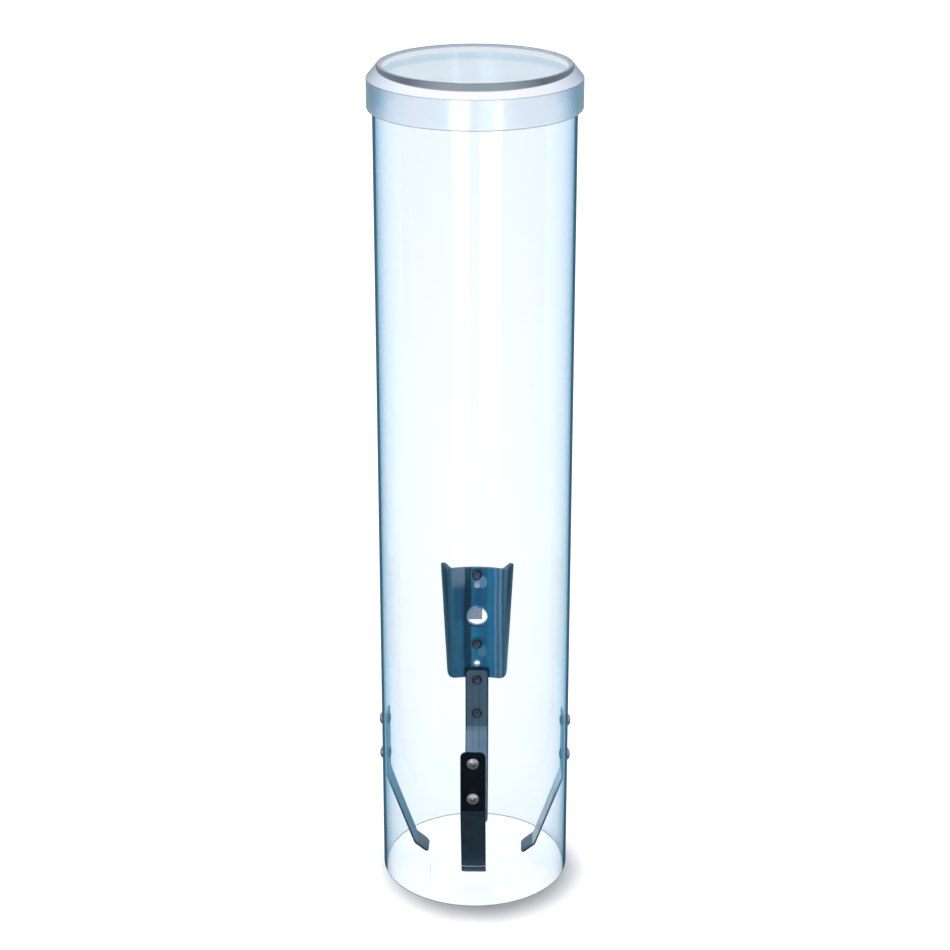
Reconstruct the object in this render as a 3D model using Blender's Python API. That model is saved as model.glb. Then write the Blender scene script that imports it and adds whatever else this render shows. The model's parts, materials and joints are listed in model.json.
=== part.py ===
"""Wall-mounted pull-down cup dispenser, in metres, +Z up.

A clear tube holds the stack of cups, a cap closes its top, and four riveted fingers hold the lowest
cup. A saddle bracket is riveted to the back wall, with a square of foam tape on its wall side. The
front is -Y, the wall side is +Y, and the origin is at the middle of the footprint, on the floor.
"""

import math

import bmesh
import bpy
from mathutils import Matrix, Vector

# Driving dimensions
SEAT_GAP = 0.0003
CUT_OVERRUN = 0.004
MERGE_DISTANCE = 0.000001

TUBE_LENGTH = 0.4005
TUBE_OUTER_RADIUS = 0.04604
TUBE_WALL = 0.0015
TUBE_EDGE_CHAMFER = 0.0003

CAP_CLEARANCE = 0.0003
CAP_WALL = 0.0023
CAP_SKIRT_DEPTH = 0.0136
CAP_SKIRT_EDGE = 0.0008
CAP_SHOULDER_DROP = 0.0027
CAP_DISC_THICKNESS = 0.0022
CAP_RING_RISE = 0.0034
CAP_RING_OUTER_RADIUS = 0.0437
CAP_RING_WALL = 0.0020
CAP_RING_ROUNDING = 0.0006

BRACKET_TOP = 0.1410
BRACKET_BOTTOM = 0.0797
BRACKET_THICKNESS = 0.0018
BRACKET_SADDLE_HALF_ANGLE = math.radians(15.5)
BRACKET_BEND_RADIUS = 0.0015
BRACKET_WING_ANGLE = math.radians(62.0)
BRACKET_TOP_WING = 0.0086
BRACKET_BOTTOM_WING = 0.0010
BRACKET_TOP_CORNER = 0.0015
BRACKET_BOTTOM_CORNER = 0.0042
BRACKET_NOTCH_CLEARANCE = 0.0005

MOUNT_HOLE_RADIUS = 0.00535
MOUNT_HOLE_HEIGHT = 0.1142
SMALL_HOLE_RADIUS = 0.0017
SMALL_HOLE_HEIGHTS = (0.1315, 0.0876)

PAD_WIDTH = 0.0142
PAD_HEIGHT = 0.0187
PAD_THICKNESS = 0.00635
PAD_BOTTOM = 0.1110
PAD_RIGHT_EDGE = 0.0026

LABEL_WIDTH = 0.0390
LABEL_HEIGHT = 0.0140
LABEL_BOTTOM = 0.0090
LABEL_THICKNESS = 0.0002
LABEL_CORNER = 0.0025
LABEL_TURN = math.radians(-2.6)

FINGER_WIDTH = 0.0120
FINGER_THICKNESS = 0.0008
FINGER_TOP_CORNER = 0.0026
FINGER_TOP_ABOVE_RIVET = 0.0051
FINGER_BEND_HEIGHT = 0.0500
FINGER_BEND_GAP = 0.0006
FINGER_HOOK_RADIUS = 0.0300
FINGER_HOOK_HEIGHT = 0.0122
FINGER_TIP_RADIUS = 0.0235
FINGER_TIP_HEIGHT = 0.0069
FINGER_HOOK_ROUNDING = 0.0025
FINGER_TIP_CORNER = 0.0022
FINGER_WALL_CLEARANCE = 0.0003

RIVET_SHANK_RADIUS = 0.0016
RIVET_BORE_RADIUS = 0.00115
RIVET_HEAD_RADIUS = 0.0029
RIVET_HEAD_RIM = 0.0002
RIVET_HEAD_HEIGHT = 0.0010
RIVET_TAIL_RADIUS = 0.0025
RIVET_TAIL_HEIGHT = 0.0007
RIVET_TAIL_ROUNDING = 0.0003
PIN_RADIUS = 0.00085
PIN_HEAD_RECESS = 0.0003
PIN_TAIL_REACH = 0.0003
PIN_POINT = 0.0003

FINGER_RIVET_ABOVE_BEND = 0.0103
FINGER_RIVET_PITCH = 0.0191
BRACKET_RIVET_BELOW_TOP = 0.0032
BRACKET_RIVET_PITCH = 0.0387

# Counts of facets
TUBE_SIDES = 72
RIVET_SIDES = 16
PIN_SIDES = 10
HOLE_SIDES = 24
CORNER_STEPS = 4
DOME_STEPS = 3
BRACKET_COLUMNS = 26
LABEL_COLUMNS = 16

# Edges that turn by more than this stay sharp under smooth shading
SHARP_ANGLE = math.radians(30.0)

# The sides of the tube, each a quarter turn on from the one before, the first at +X
SIDES = ("right", "back", "left", "front")

# Places worked out from the driving dimensions
FINGER_LOWER_RIVET = FINGER_BEND_HEIGHT + FINGER_RIVET_ABOVE_BEND
FINGER_UPPER_RIVET = FINGER_LOWER_RIVET + FINGER_RIVET_PITCH
FINGER_TOP = FINGER_UPPER_RIVET + FINGER_TOP_ABOVE_RIVET
BRACKET_UPPER_RIVET = BRACKET_TOP - BRACKET_RIVET_BELOW_TOP
BRACKET_LOWER_RIVET = BRACKET_UPPER_RIVET - BRACKET_RIVET_PITCH
FINGER_RIVET_HEIGHTS = {"upper": FINGER_UPPER_RIVET, "lower": FINGER_LOWER_RIVET}
BRACKET_RIVET_HEIGHTS = {"upper": BRACKET_UPPER_RIVET, "lower": BRACKET_LOWER_RIVET}
RIVET_HOLE_RADIUS = RIVET_SHANK_RADIUS + SEAT_GAP
TUBE_INNER_RADIUS = TUBE_OUTER_RADIUS - TUBE_WALL
CAP_INNER_RADIUS = TUBE_OUTER_RADIUS + CAP_CLEARANCE
CAP_OUTER_RADIUS = CAP_INNER_RADIUS + CAP_WALL
CAP_DISC_BOTTOM = TUBE_LENGTH + SEAT_GAP
CAP_DISC_TOP = CAP_DISC_BOTTOM + CAP_DISC_THICKNESS
BRACKET_INNER_RADIUS = TUBE_OUTER_RADIUS + SEAT_GAP
BRACKET_OUTER_RADIUS = BRACKET_INNER_RADIUS + BRACKET_THICKNESS
PAD_FRONT = BRACKET_OUTER_RADIUS + SEAT_GAP
PAD_REAR = PAD_FRONT + PAD_THICKNESS
FINGER_OUTER_FACE = math.sqrt((TUBE_INNER_RADIUS - FINGER_WALL_CLEARANCE) ** 2 - (FINGER_WIDTH / 2) ** 2)
FINGER_MIDDLE = FINGER_OUTER_FACE - FINGER_THICKNESS / 2
FINGER_INNER_FACE = FINGER_OUTER_FACE - FINGER_THICKNESS
FINGER_RIVET_GRIP = TUBE_OUTER_RADIUS - FINGER_INNER_FACE
BRACKET_RIVET_GRIP = BRACKET_OUTER_RADIUS - TUBE_INNER_RADIUS
TUBE_AXIS_Y = (CAP_OUTER_RADIUS - PAD_REAR) / 2


def clear_scene():
    """Empties the scene, also of the objects that a new file starts with."""
    for item in list(bpy.data.objects):
        bpy.data.objects.remove(item, do_unlink=True)


def surface(name, colour, roughness, metallic=0.0, alpha=1.0):
    """A plain Principled material."""
    material = bpy.data.materials.new(name)
    material.use_nodes = True
    shader = material.node_tree.nodes["Principled BSDF"]
    shader.inputs["Base Color"].default_value = (*colour, 1.0)
    shader.inputs["Roughness"].default_value = roughness
    shader.inputs["Metallic"].default_value = metallic
    shader.inputs["Alpha"].default_value = alpha
    material.diffuse_color = (*colour, alpha)
    return material


def empty(name, place, turn, parent=None):
    """A named frame that other objects hang from."""
    frame = bpy.data.objects.new(name, None)
    frame.location = place
    frame.rotation_euler = turn
    frame.parent = parent
    bpy.context.scene.collection.objects.link(frame)
    return frame


def mesh_object(name, mesh, parent, material=None, collection=None):
    """An object for a finished mesh, hung from a parent frame."""
    item = bpy.data.objects.new(name, mesh)
    item.parent = parent
    if material is not None:
        item.data.materials.clear()
        item.data.materials.append(material)
    (collection or bpy.context.scene.collection).objects.link(item)
    return item


def finish_mesh(name, mesh_builder):
    """Welds a bmesh, points its faces out and returns it as a smooth-shaded mesh with sharp edges kept."""
    bmesh.ops.remove_doubles(mesh_builder, verts=mesh_builder.verts, dist=MERGE_DISTANCE)
    bmesh.ops.recalc_face_normals(mesh_builder, faces=mesh_builder.faces)
    mesh = bpy.data.meshes.new(name)
    mesh_builder.to_mesh(mesh)
    mesh_builder.free()
    mesh.shade_smooth()
    mesh.set_sharp_from_angle(angle=SHARP_ANGLE)
    return mesh


def turned_mesh(name, outline, sides, closed):
    """Spins an outline of (radius, height) points about Z. An outline that isn't closed ends on the axis."""
    builder = bmesh.new()
    points = [builder.verts.new((radius, 0.0, height)) for radius, height in outline]
    pairs = list(zip(points, points[1:]))
    if closed:
        pairs.append((points[-1], points[0]))
    edges = [builder.edges.new(pair) for pair in pairs]
    bmesh.ops.spin(
        builder,
        geom=points + edges,
        cent=(0.0, 0.0, 0.0),
        axis=(0.0, 0.0, 1.0),
        angle=math.tau,
        steps=sides,
        use_merge=True,
    )
    return finish_mesh(name, builder)


def quarter_arc(centre, radius, start_turn, steps=CORNER_STEPS):
    """Points of a quarter circle in the (radius, height) plane, both ends included."""
    first = start_turn * math.pi / 2
    angles = [first + step * math.pi / 2 / steps for step in range(steps + 1)]
    return [(centre[0] + radius * math.cos(angle), centre[1] + radius * math.sin(angle)) for angle in angles]


def sheet_mesh(name, rows, thickness):
    """A sheet of even thickness from rows of (point, normal) pairs, closed all round its edge."""
    builder = bmesh.new()
    half = thickness / 2
    faces_by_side = []
    for side in (half, -half):
        faces_by_side.append([[builder.verts.new(p + n * side) for p, n in row] for row in rows])
    last_row = len(rows) - 1
    last_column = len(rows[0]) - 1
    for grid in faces_by_side:
        for low, high in zip(grid, grid[1:]):
            for column in range(last_column):
                builder.faces.new((low[column], low[column + 1], high[column + 1], high[column]))
    rim = [(0, column) for column in range(last_column)]
    rim += [(row, last_column) for row in range(last_row)]
    rim += [(last_row, column) for column in range(last_column, 0, -1)]
    rim += [(row, 0) for row in range(last_row, 0, -1)]
    front, rear = faces_by_side
    for (row, column), (next_row, next_column) in zip(rim, rim[1:] + rim[:1]):
        front_edge = (front[row][column], front[next_row][next_column])
        rear_edge = (rear[next_row][next_column], rear[row][column])
        builder.faces.new(front_edge + rear_edge)
    return finish_mesh(name, builder)


def corner_stations(low, high, low_corner, high_corner, steps=CORNER_STEPS):
    """Heights from low to high with the inset that rounds each end's corners: (height, inset) pairs."""
    stations = []
    for step in range(steps + 1):
        angle = step * math.pi / 2 / steps
        stations.append((low + low_corner * (1 - math.cos(angle)), low_corner * (1 - math.sin(angle))))
    for step in range(steps, -1, -1):
        angle = step * math.pi / 2 / steps
        stations.append((high - high_corner * (1 - math.cos(angle)), high_corner * (1 - math.sin(angle))))
    return stations


def tube_mesh():
    """The open tube, with a small chamfer at each edge."""
    edge = TUBE_EDGE_CHAMFER
    outline = [
        (TUBE_INNER_RADIUS + edge, 0.0),
        (TUBE_OUTER_RADIUS - edge, 0.0),
        (TUBE_OUTER_RADIUS, edge),
        (TUBE_OUTER_RADIUS, TUBE_LENGTH - edge),
        (TUBE_OUTER_RADIUS - edge, TUBE_LENGTH),
        (TUBE_INNER_RADIUS + edge, TUBE_LENGTH),
        (TUBE_INNER_RADIUS, TUBE_LENGTH - edge),
        (TUBE_INNER_RADIUS, edge),
    ]
    return turned_mesh("tube", outline, TUBE_SIDES, closed=True)


def cap_mesh():
    """The cap: a sunk disc that rests on the tube, a raised ring that slopes out to the skirt."""
    shoulder = CAP_DISC_TOP - CAP_SHOULDER_DROP
    skirt_bottom = shoulder - CAP_SKIRT_DEPTH
    ring_top = CAP_DISC_TOP + CAP_RING_RISE
    ring_inner = CAP_RING_OUTER_RADIUS - CAP_RING_WALL
    rounding = CAP_RING_ROUNDING
    outline = [
        (0.0, CAP_DISC_BOTTOM),
        (CAP_INNER_RADIUS, CAP_DISC_BOTTOM),
        (CAP_INNER_RADIUS, skirt_bottom),
    ]
    outline += quarter_arc(
        (CAP_OUTER_RADIUS - CAP_SKIRT_EDGE, skirt_bottom + CAP_SKIRT_EDGE), CAP_SKIRT_EDGE, 3, DOME_STEPS
    )
    outline.append((CAP_OUTER_RADIUS, shoulder))
    outline += quarter_arc((CAP_RING_OUTER_RADIUS - rounding, ring_top - rounding), rounding, 0, DOME_STEPS)
    outline += quarter_arc((ring_inner + rounding, ring_top - rounding), rounding, 1, DOME_STEPS)
    outline += [(ring_inner, CAP_DISC_TOP), (0.0, CAP_DISC_TOP)]
    return turned_mesh("cap", outline, TUBE_SIDES, closed=False)


def bracket_section(distance):
    """Middle of the bracket's sheet at an arc distance from its centre line: (point, normal)."""
    radius = BRACKET_INNER_RADIUS + BRACKET_THICKNESS / 2
    saddle_end = radius * BRACKET_SADDLE_HALF_ANGLE
    turn = BRACKET_SADDLE_HALF_ANGLE + BRACKET_WING_ANGLE
    bend_end = saddle_end + BRACKET_BEND_RADIUS * turn
    side = math.copysign(1.0, distance)
    reach = abs(distance)
    if reach <= saddle_end:
        angle = reach / radius
        x, y, heading = radius * math.sin(angle), radius * math.cos(angle), -angle
    else:
        bent = min(reach, bend_end) - saddle_end
        heading = bent / BRACKET_BEND_RADIUS - BRACKET_SADDLE_HALF_ANGLE
        x = radius * math.sin(BRACKET_SADDLE_HALF_ANGLE)
        x += BRACKET_BEND_RADIUS * (math.sin(heading) + math.sin(BRACKET_SADDLE_HALF_ANGLE))
        y = radius * math.cos(BRACKET_SADDLE_HALF_ANGLE)
        y += BRACKET_BEND_RADIUS * (math.cos(BRACKET_SADDLE_HALF_ANGLE) - math.cos(heading))
        wing = max(reach - bend_end, 0.0)
        x += wing * math.cos(heading)
        y += wing * math.sin(heading)
    return Vector((side * x, y, 0.0)), Vector((-side * math.sin(heading), math.cos(heading), 0.0))


def bracket_mesh():
    """The saddle bracket, wide at the top and narrow at the bottom, with rounded corners."""
    radius = BRACKET_INNER_RADIUS + BRACKET_THICKNESS / 2
    turn = BRACKET_SADDLE_HALF_ANGLE + BRACKET_WING_ANGLE
    bend_end = radius * BRACKET_SADDLE_HALF_ANGLE + BRACKET_BEND_RADIUS * turn
    height = BRACKET_TOP - BRACKET_BOTTOM
    stations = corner_stations(BRACKET_BOTTOM, BRACKET_TOP, BRACKET_BOTTOM_CORNER, BRACKET_TOP_CORNER)
    rows = []
    for level, inset in stations:
        rise_share = (level - BRACKET_BOTTOM) / height
        wing = BRACKET_BOTTOM_WING + rise_share * (BRACKET_TOP_WING - BRACKET_BOTTOM_WING)
        half_width = bend_end + wing - inset
        row = []
        for column in range(BRACKET_COLUMNS + 1):
            width_share = 2 * column / BRACKET_COLUMNS - 1
            point, normal = bracket_section(width_share * half_width)
            row.append((point + Vector((0.0, 0.0, level)), normal))
        rows.append(row)
    return sheet_mesh("mounting_bracket", rows, BRACKET_THICKNESS)


def label_mesh():
    """The clear label, bent round the front of the tube."""
    radius = TUBE_OUTER_RADIUS + SEAT_GAP + LABEL_THICKNESS / 2
    label_top = LABEL_BOTTOM + LABEL_HEIGHT
    rows = []
    for level, inset in corner_stations(LABEL_BOTTOM, label_top, LABEL_CORNER, LABEL_CORNER):
        half_width = LABEL_WIDTH / 2 - inset
        row = []
        for column in range(LABEL_COLUMNS + 1):
            width_share = 2 * column / LABEL_COLUMNS - 1
            angle = LABEL_TURN + width_share * half_width / radius
            normal = Vector((math.sin(angle), -math.cos(angle), 0.0))
            row.append((normal * radius + Vector((0.0, 0.0, level)), normal))
        rows.append(row)
    return sheet_mesh("clear_label", rows, LABEL_THICKNESS)


def finger_base_mesh():
    """The riveted flat part of a finger, in its side's frame: +X outward, rounded at the top corners."""
    bottom = FINGER_BEND_HEIGHT + FINGER_BEND_GAP / 2
    rows = []
    for level, inset in corner_stations(bottom, FINGER_TOP, 0.0, FINGER_TOP_CORNER)[CORNER_STEPS:]:
        half_width = FINGER_WIDTH / 2 - inset
        edges = [Vector((FINGER_MIDDLE, edge, level)) for edge in (-half_width, half_width)]
        rows.append([(edge, Vector((1.0, 0.0, 0.0))) for edge in edges])
    return sheet_mesh("finger_base", rows, FINGER_THICKNESS)


def finger_path():
    """Middle line of a tongue from its bend to its tip, as (point, normal, distance from the tip)."""
    bend = Vector((FINGER_MIDDLE, 0.0, FINGER_BEND_HEIGHT))
    hook = Vector((FINGER_HOOK_RADIUS, 0.0, FINGER_HOOK_HEIGHT))
    tip = Vector((FINGER_TIP_RADIUS, 0.0, FINGER_TIP_HEIGHT))
    slant = (hook - bend).normalized()
    lean = (tip - hook).normalized()
    slant_angle = math.atan2(slant.z, slant.x)
    lean_angle = math.atan2(lean.z, lean.x)
    turn = lean_angle - slant_angle
    setback = FINGER_HOOK_ROUNDING * abs(math.tan(turn / 2))
    points = [(bend + slant * FINGER_BEND_GAP / 2, slant_angle)]
    arc_start = hook - slant * setback
    across = Vector((-slant.z, 0.0, slant.x)) * math.copysign(1.0, turn)
    centre = arc_start + across * FINGER_HOOK_ROUNDING
    for step in range(CORNER_STEPS + 1):
        angle = slant_angle + turn * step / CORNER_STEPS
        outward = Vector((math.sin(angle), 0.0, -math.cos(angle))) * math.copysign(1.0, turn)
        points.append((centre + outward * FINGER_HOOK_ROUNDING, angle))
    for step in range(CORNER_STEPS, -1, -1):
        angle = step * math.pi / 2 / CORNER_STEPS
        points.append((tip - lean * FINGER_TIP_CORNER * (1 - math.cos(angle)), lean_angle))
    stations = []
    for point, angle in points:
        normal = Vector((-math.sin(angle), 0.0, math.cos(angle)))
        stations.append((point, normal, (tip - point).length))
    return stations


def finger_tongue_mesh():
    """The slanted tongue with its hooked, rounded tip, about its hinge point."""
    hinge = Vector((FINGER_MIDDLE, 0.0, FINGER_BEND_HEIGHT))
    rows = []
    for point, normal, to_tip in finger_path():
        inset = 0.0
        if to_tip < FINGER_TIP_CORNER:
            inset = FINGER_TIP_CORNER - math.sqrt(FINGER_TIP_CORNER**2 - (FINGER_TIP_CORNER - to_tip) ** 2)
        half_width = FINGER_WIDTH / 2 - inset
        edges = [point - hinge + Vector((0.0, edge, 0.0)) for edge in (-half_width, half_width)]
        rows.append([(edge, normal) for edge in edges])
    return sheet_mesh("finger_tongue", rows, FINGER_THICKNESS)


def rivet_mesh(name, grip):
    """A set blind rivet along Z: domed head above zero, tail a grip below zero, bored through."""
    head_base = SEAT_GAP
    head_top = head_base + RIVET_HEAD_HEIGHT
    tail_top = -grip - SEAT_GAP
    tail_bottom = tail_top - RIVET_TAIL_HEIGHT
    dome_rise = RIVET_HEAD_HEIGHT - RIVET_HEAD_RIM
    outline = [(RIVET_BORE_RADIUS, tail_bottom)]
    outline += quarter_arc(
        (RIVET_TAIL_RADIUS - RIVET_TAIL_ROUNDING, tail_bottom + RIVET_TAIL_ROUNDING),
        RIVET_TAIL_ROUNDING,
        3,
        DOME_STEPS - 1,
    )
    outline += [
        (RIVET_TAIL_RADIUS, tail_top),
        (RIVET_SHANK_RADIUS, tail_top),
        (RIVET_SHANK_RADIUS, head_base),
        (RIVET_HEAD_RADIUS, head_base),
        (RIVET_HEAD_RADIUS, head_base + RIVET_HEAD_RIM),
    ]
    for step in range(1, DOME_STEPS + 1):
        reach_share = 1 - step / DOME_STEPS
        radius = RIVET_BORE_RADIUS + (RIVET_HEAD_RADIUS - RIVET_BORE_RADIUS) * reach_share
        outline.append((radius, head_top - dome_rise * reach_share**2))
    return turned_mesh(name, outline, RIVET_SIDES, closed=True)


def pin_mesh(name, grip):
    """The mandrel pin left in a rivet: broken off just under the head's top, pointed at the tail."""
    top = SEAT_GAP + RIVET_HEAD_HEIGHT - PIN_HEAD_RECESS
    bottom = -grip - SEAT_GAP - RIVET_TAIL_HEIGHT - PIN_TAIL_REACH
    outline = [
        (0.0, bottom),
        (PIN_RADIUS - PIN_POINT, bottom),
        (PIN_RADIUS, bottom + PIN_POINT),
        (PIN_RADIUS, top),
        (0.0, top),
    ]
    return turned_mesh(name, outline, PIN_SIDES, closed=False)


def radial_place(item, angle, radius, height):
    """Puts an object's Z axis outward along a radius of the tube."""
    item.location = (radius * math.cos(angle), radius * math.sin(angle), height)
    item.rotation_euler = (0.0, math.pi / 2, angle)


def hole_cutter(name, radius, inner, outer, angle, height, axis_frame, collection):
    """A round cutter through the wall on one side of the tube."""
    start = inner - CUT_OVERRUN
    end = outer + CUT_OVERRUN
    outline = [(0.0, start), (radius, start), (radius, end), (0.0, end)]
    mesh = turned_mesh(name, outline, HOLE_SIDES, closed=False)
    cutter = mesh_object(name, mesh, axis_frame, collection=collection)
    radial_place(cutter, angle, 0.0, height)
    hide_cutter(cutter)


def hide_cutter(cutter):
    """Shows a cutter as wires and keeps it out of the model."""
    cutter.hide_render = True
    cutter.display_type = "WIRE"


def cutter_collection(name):
    """A collection that holds the cutters of one group of holes."""
    collection = bpy.data.collections.new(name)
    bpy.context.scene.collection.children.link(collection)
    return collection


def cut_with(item, collection):
    """Cuts a collection's holes out of an object."""
    cut = item.modifiers.new(collection.name, "BOOLEAN")
    cut.operation = "DIFFERENCE"
    cut.operand_type = "COLLECTION"
    cut.collection = collection
    cut.solver = "EXACT"


def side_angle(side):
    """Angle of a side of the tube, about +Z from +X."""
    return SIDES.index(side) * math.pi / 2


def make_tube(axis_frame):
    """The tube, not yet cut."""
    clear_blue = surface("clear_blue", (0.75, 0.88, 0.95), 0.05, alpha=0.3)
    return mesh_object("tube", tube_mesh(), axis_frame, clear_blue)


def make_cap(axis_frame):
    """The cap, with its origin on the line it lifts along."""
    frost = surface("frosted_clear", (0.86, 0.9, 0.94), 0.4, alpha=0.6)
    mesh_object("cap", cap_mesh(), axis_frame, frost)


def make_bracket(axis_frame, tube):
    """The bracket, the holes it shares with the tube, and its notch round a finger rivet's head."""
    deep_blue = surface("deep_blue", (0.02, 0.1, 0.25), 0.15, alpha=0.85)
    bracket = mesh_object("mounting_bracket", bracket_mesh(), axis_frame, deep_blue)
    back = side_angle("back")
    inner, outer = TUBE_INNER_RADIUS, BRACKET_OUTER_RADIUS
    holes = cutter_collection("mounting_holes")
    hole_cutter("cut_mount", MOUNT_HOLE_RADIUS, inner, outer, back, MOUNT_HOLE_HEIGHT, axis_frame, holes)
    for index, height in enumerate(SMALL_HOLE_HEIGHTS):
        hole_cutter(f"cut_small_{index}", SMALL_HOLE_RADIUS, inner, outer, back, height, axis_frame, holes)
    for level, height in BRACKET_RIVET_HEIGHTS.items():
        hole_cutter(f"cut_bracket_{level}", RIVET_HOLE_RADIUS, inner, outer, back, height, axis_frame, holes)
    cut_with(bracket, holes)
    cut_with(tube, holes)
    notch = cutter_collection("finger_rivet_notch")
    notch_radius = RIVET_HEAD_RADIUS + BRACKET_NOTCH_CLEARANCE
    hole_cutter("cut_notch", notch_radius, inner, outer, back, FINGER_UPPER_RIVET, axis_frame, notch)
    cut_with(bracket, notch)


def make_pad(axis_frame):
    """The foam tape pad, hollowed to sit on the saddle."""
    grey = surface("foam_grey", (0.6, 0.62, 0.66), 0.9)
    left = PAD_RIGHT_EDGE - PAD_WIDTH
    near = BRACKET_INNER_RADIUS * math.cos(BRACKET_SADDLE_HALF_ANGLE)
    builder = bmesh.new()
    bmesh.ops.create_cube(builder, size=1.0)
    bmesh.ops.scale(builder, vec=(PAD_WIDTH, PAD_REAR - near, PAD_HEIGHT), verts=builder.verts)
    centre = Vector((left + PAD_WIDTH / 2, (PAD_REAR + near) / 2, PAD_BOTTOM + PAD_HEIGHT / 2))
    bmesh.ops.translate(builder, vec=centre, verts=builder.verts)
    pad = mesh_object("foam_tape_pad", finish_mesh("foam_tape_pad", builder), axis_frame, grey)
    seat = cutter_collection("pad_seat")
    start, end = PAD_BOTTOM - CUT_OVERRUN, PAD_BOTTOM + PAD_HEIGHT + CUT_OVERRUN
    outline = [(0.0, start), (PAD_FRONT, start), (PAD_FRONT, end), (0.0, end)]
    mesh = turned_mesh("cut_pad_seat", outline, TUBE_SIDES, closed=False)
    hide_cutter(mesh_object("cut_pad_seat", mesh, axis_frame, collection=seat))
    cut_with(pad, seat)


def make_label(axis_frame):
    """The clear label."""
    film = surface("clear_film", (0.95, 0.97, 1.0), 0.1, alpha=0.3)
    mesh_object("clear_label", label_mesh(), axis_frame, film)


def make_rivets(axis_frame, group, grip, angle, outer_radius, heights):
    """A group of set rivets with their pins, through one side of the tube."""
    bright = surface(f"{group}_metal", (0.62, 0.63, 0.66), 0.3, metallic=1.0)
    dark = surface(f"{group}_pin_steel", (0.3, 0.3, 0.32), 0.4, metallic=1.0)
    shared_rivet = rivet_mesh(f"{group}_rivet", grip)
    shared_pin = pin_mesh(f"{group}_pin", grip)
    for level, height in heights.items():
        for kind, mesh, material in (("rivet", shared_rivet, bright), ("pin", shared_pin, dark)):
            item = mesh_object(f"{group}_{kind}_{level}", mesh, axis_frame, material)
            radial_place(item, angle, outer_radius, height)


def make_fingers(axis_frame, tube):
    """Four fingers, each a riveted base, a tongue hung from an empty on its bend, and its rivets."""
    slate = surface("dark_slate", (0.05, 0.07, 0.09), 0.35)
    base_mesh = finger_base_mesh()
    tongue_mesh = finger_tongue_mesh()
    for side in SIDES:
        angle = side_angle(side)
        holes = cutter_collection(f"{side}_rivet_holes")
        for level, height in FINGER_RIVET_HEIGHTS.items():
            hole_cutter(
                f"cut_{side}_{level}",
                RIVET_HOLE_RADIUS,
                FINGER_INNER_FACE,
                TUBE_OUTER_RADIUS,
                angle,
                height,
                axis_frame,
                holes,
            )
        base = mesh_object(f"finger_base_{side}", base_mesh, axis_frame, slate)
        base.rotation_euler = (0.0, 0.0, angle)
        cut_with(base, holes)
        cut_with(tube, holes)
        place = Matrix.Rotation(angle, 4, "Z") @ Vector((FINGER_MIDDLE, 0.0, FINGER_BEND_HEIGHT))
        hinge = empty(f"hinge_{side}", place, (0.0, 0.0, angle), axis_frame)
        mesh_object(f"finger_tongue_{side}", tongue_mesh, hinge, slate)
        group = f"finger_{side}"
        make_rivets(axis_frame, group, FINGER_RIVET_GRIP, angle, TUBE_OUTER_RADIUS, FINGER_RIVET_HEIGHTS)


def main():
    clear_scene()
    axis_frame = empty("tube_axis", (0.0, TUBE_AXIS_Y, 0.0), (0.0, 0.0, 0.0))
    tube = make_tube(axis_frame)
    make_cap(axis_frame)
    make_bracket(axis_frame, tube)
    back, outer = side_angle("back"), BRACKET_OUTER_RADIUS
    make_rivets(axis_frame, "bracket", BRACKET_RIVET_GRIP, back, outer, BRACKET_RIVET_HEIGHTS)
    make_pad(axis_frame)
    make_label(axis_frame)
    make_fingers(axis_frame, tube)


main()
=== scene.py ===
"""Looks of the pull-down cup dispenser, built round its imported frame, in metres, +Z up.

The tube, cap, bracket, pad, label, fingers and rivets each have an operator, and so has the stage.
The front is -Y, the wall side is +Y, and the tube stands on the floor.
"""

import json
import math

import bmesh
import bpy
from bpy.props import FloatProperty, FloatVectorProperty, IntProperty, PointerProperty
from mathutils import Matrix, Vector


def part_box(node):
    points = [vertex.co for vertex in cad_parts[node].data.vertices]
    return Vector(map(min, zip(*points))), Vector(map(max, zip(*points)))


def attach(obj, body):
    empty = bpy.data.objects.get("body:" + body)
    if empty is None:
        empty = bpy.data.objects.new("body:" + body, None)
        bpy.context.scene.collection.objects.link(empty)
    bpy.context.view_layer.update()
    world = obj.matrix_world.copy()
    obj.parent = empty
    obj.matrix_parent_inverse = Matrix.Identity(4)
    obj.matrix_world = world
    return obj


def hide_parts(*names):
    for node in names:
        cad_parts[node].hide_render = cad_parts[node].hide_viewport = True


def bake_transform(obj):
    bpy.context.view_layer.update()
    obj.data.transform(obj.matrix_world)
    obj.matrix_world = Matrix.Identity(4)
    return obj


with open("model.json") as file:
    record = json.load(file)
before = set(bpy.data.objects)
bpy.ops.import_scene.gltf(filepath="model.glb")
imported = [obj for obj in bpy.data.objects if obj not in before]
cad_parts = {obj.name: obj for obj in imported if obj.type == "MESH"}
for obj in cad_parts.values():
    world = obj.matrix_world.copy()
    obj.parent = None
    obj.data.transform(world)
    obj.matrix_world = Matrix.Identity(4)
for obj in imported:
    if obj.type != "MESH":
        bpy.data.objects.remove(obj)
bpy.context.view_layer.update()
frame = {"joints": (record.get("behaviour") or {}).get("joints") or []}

bl_info = {
    "name": "Cup dispenser looks",
    "version": (1, 0, 0),
    "blender": (4, 5, 0),
    "location": "3D View > Sidebar > Dispenser",
    "description": "Builds the visible pieces, finishes and stage of a wall-mounted cup dispenser",
    "category": "Object",
}

# Sides of the tube, each a quarter turn on from the one before, the first at +X
SIDE_ANGLES = {side: index * math.pi / 2 for index, side in enumerate(("right", "back", "left", "front"))}
BACK_ANGLE = SIDE_ANGLES["back"]
LEVELS = ("upper", "lower")

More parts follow.
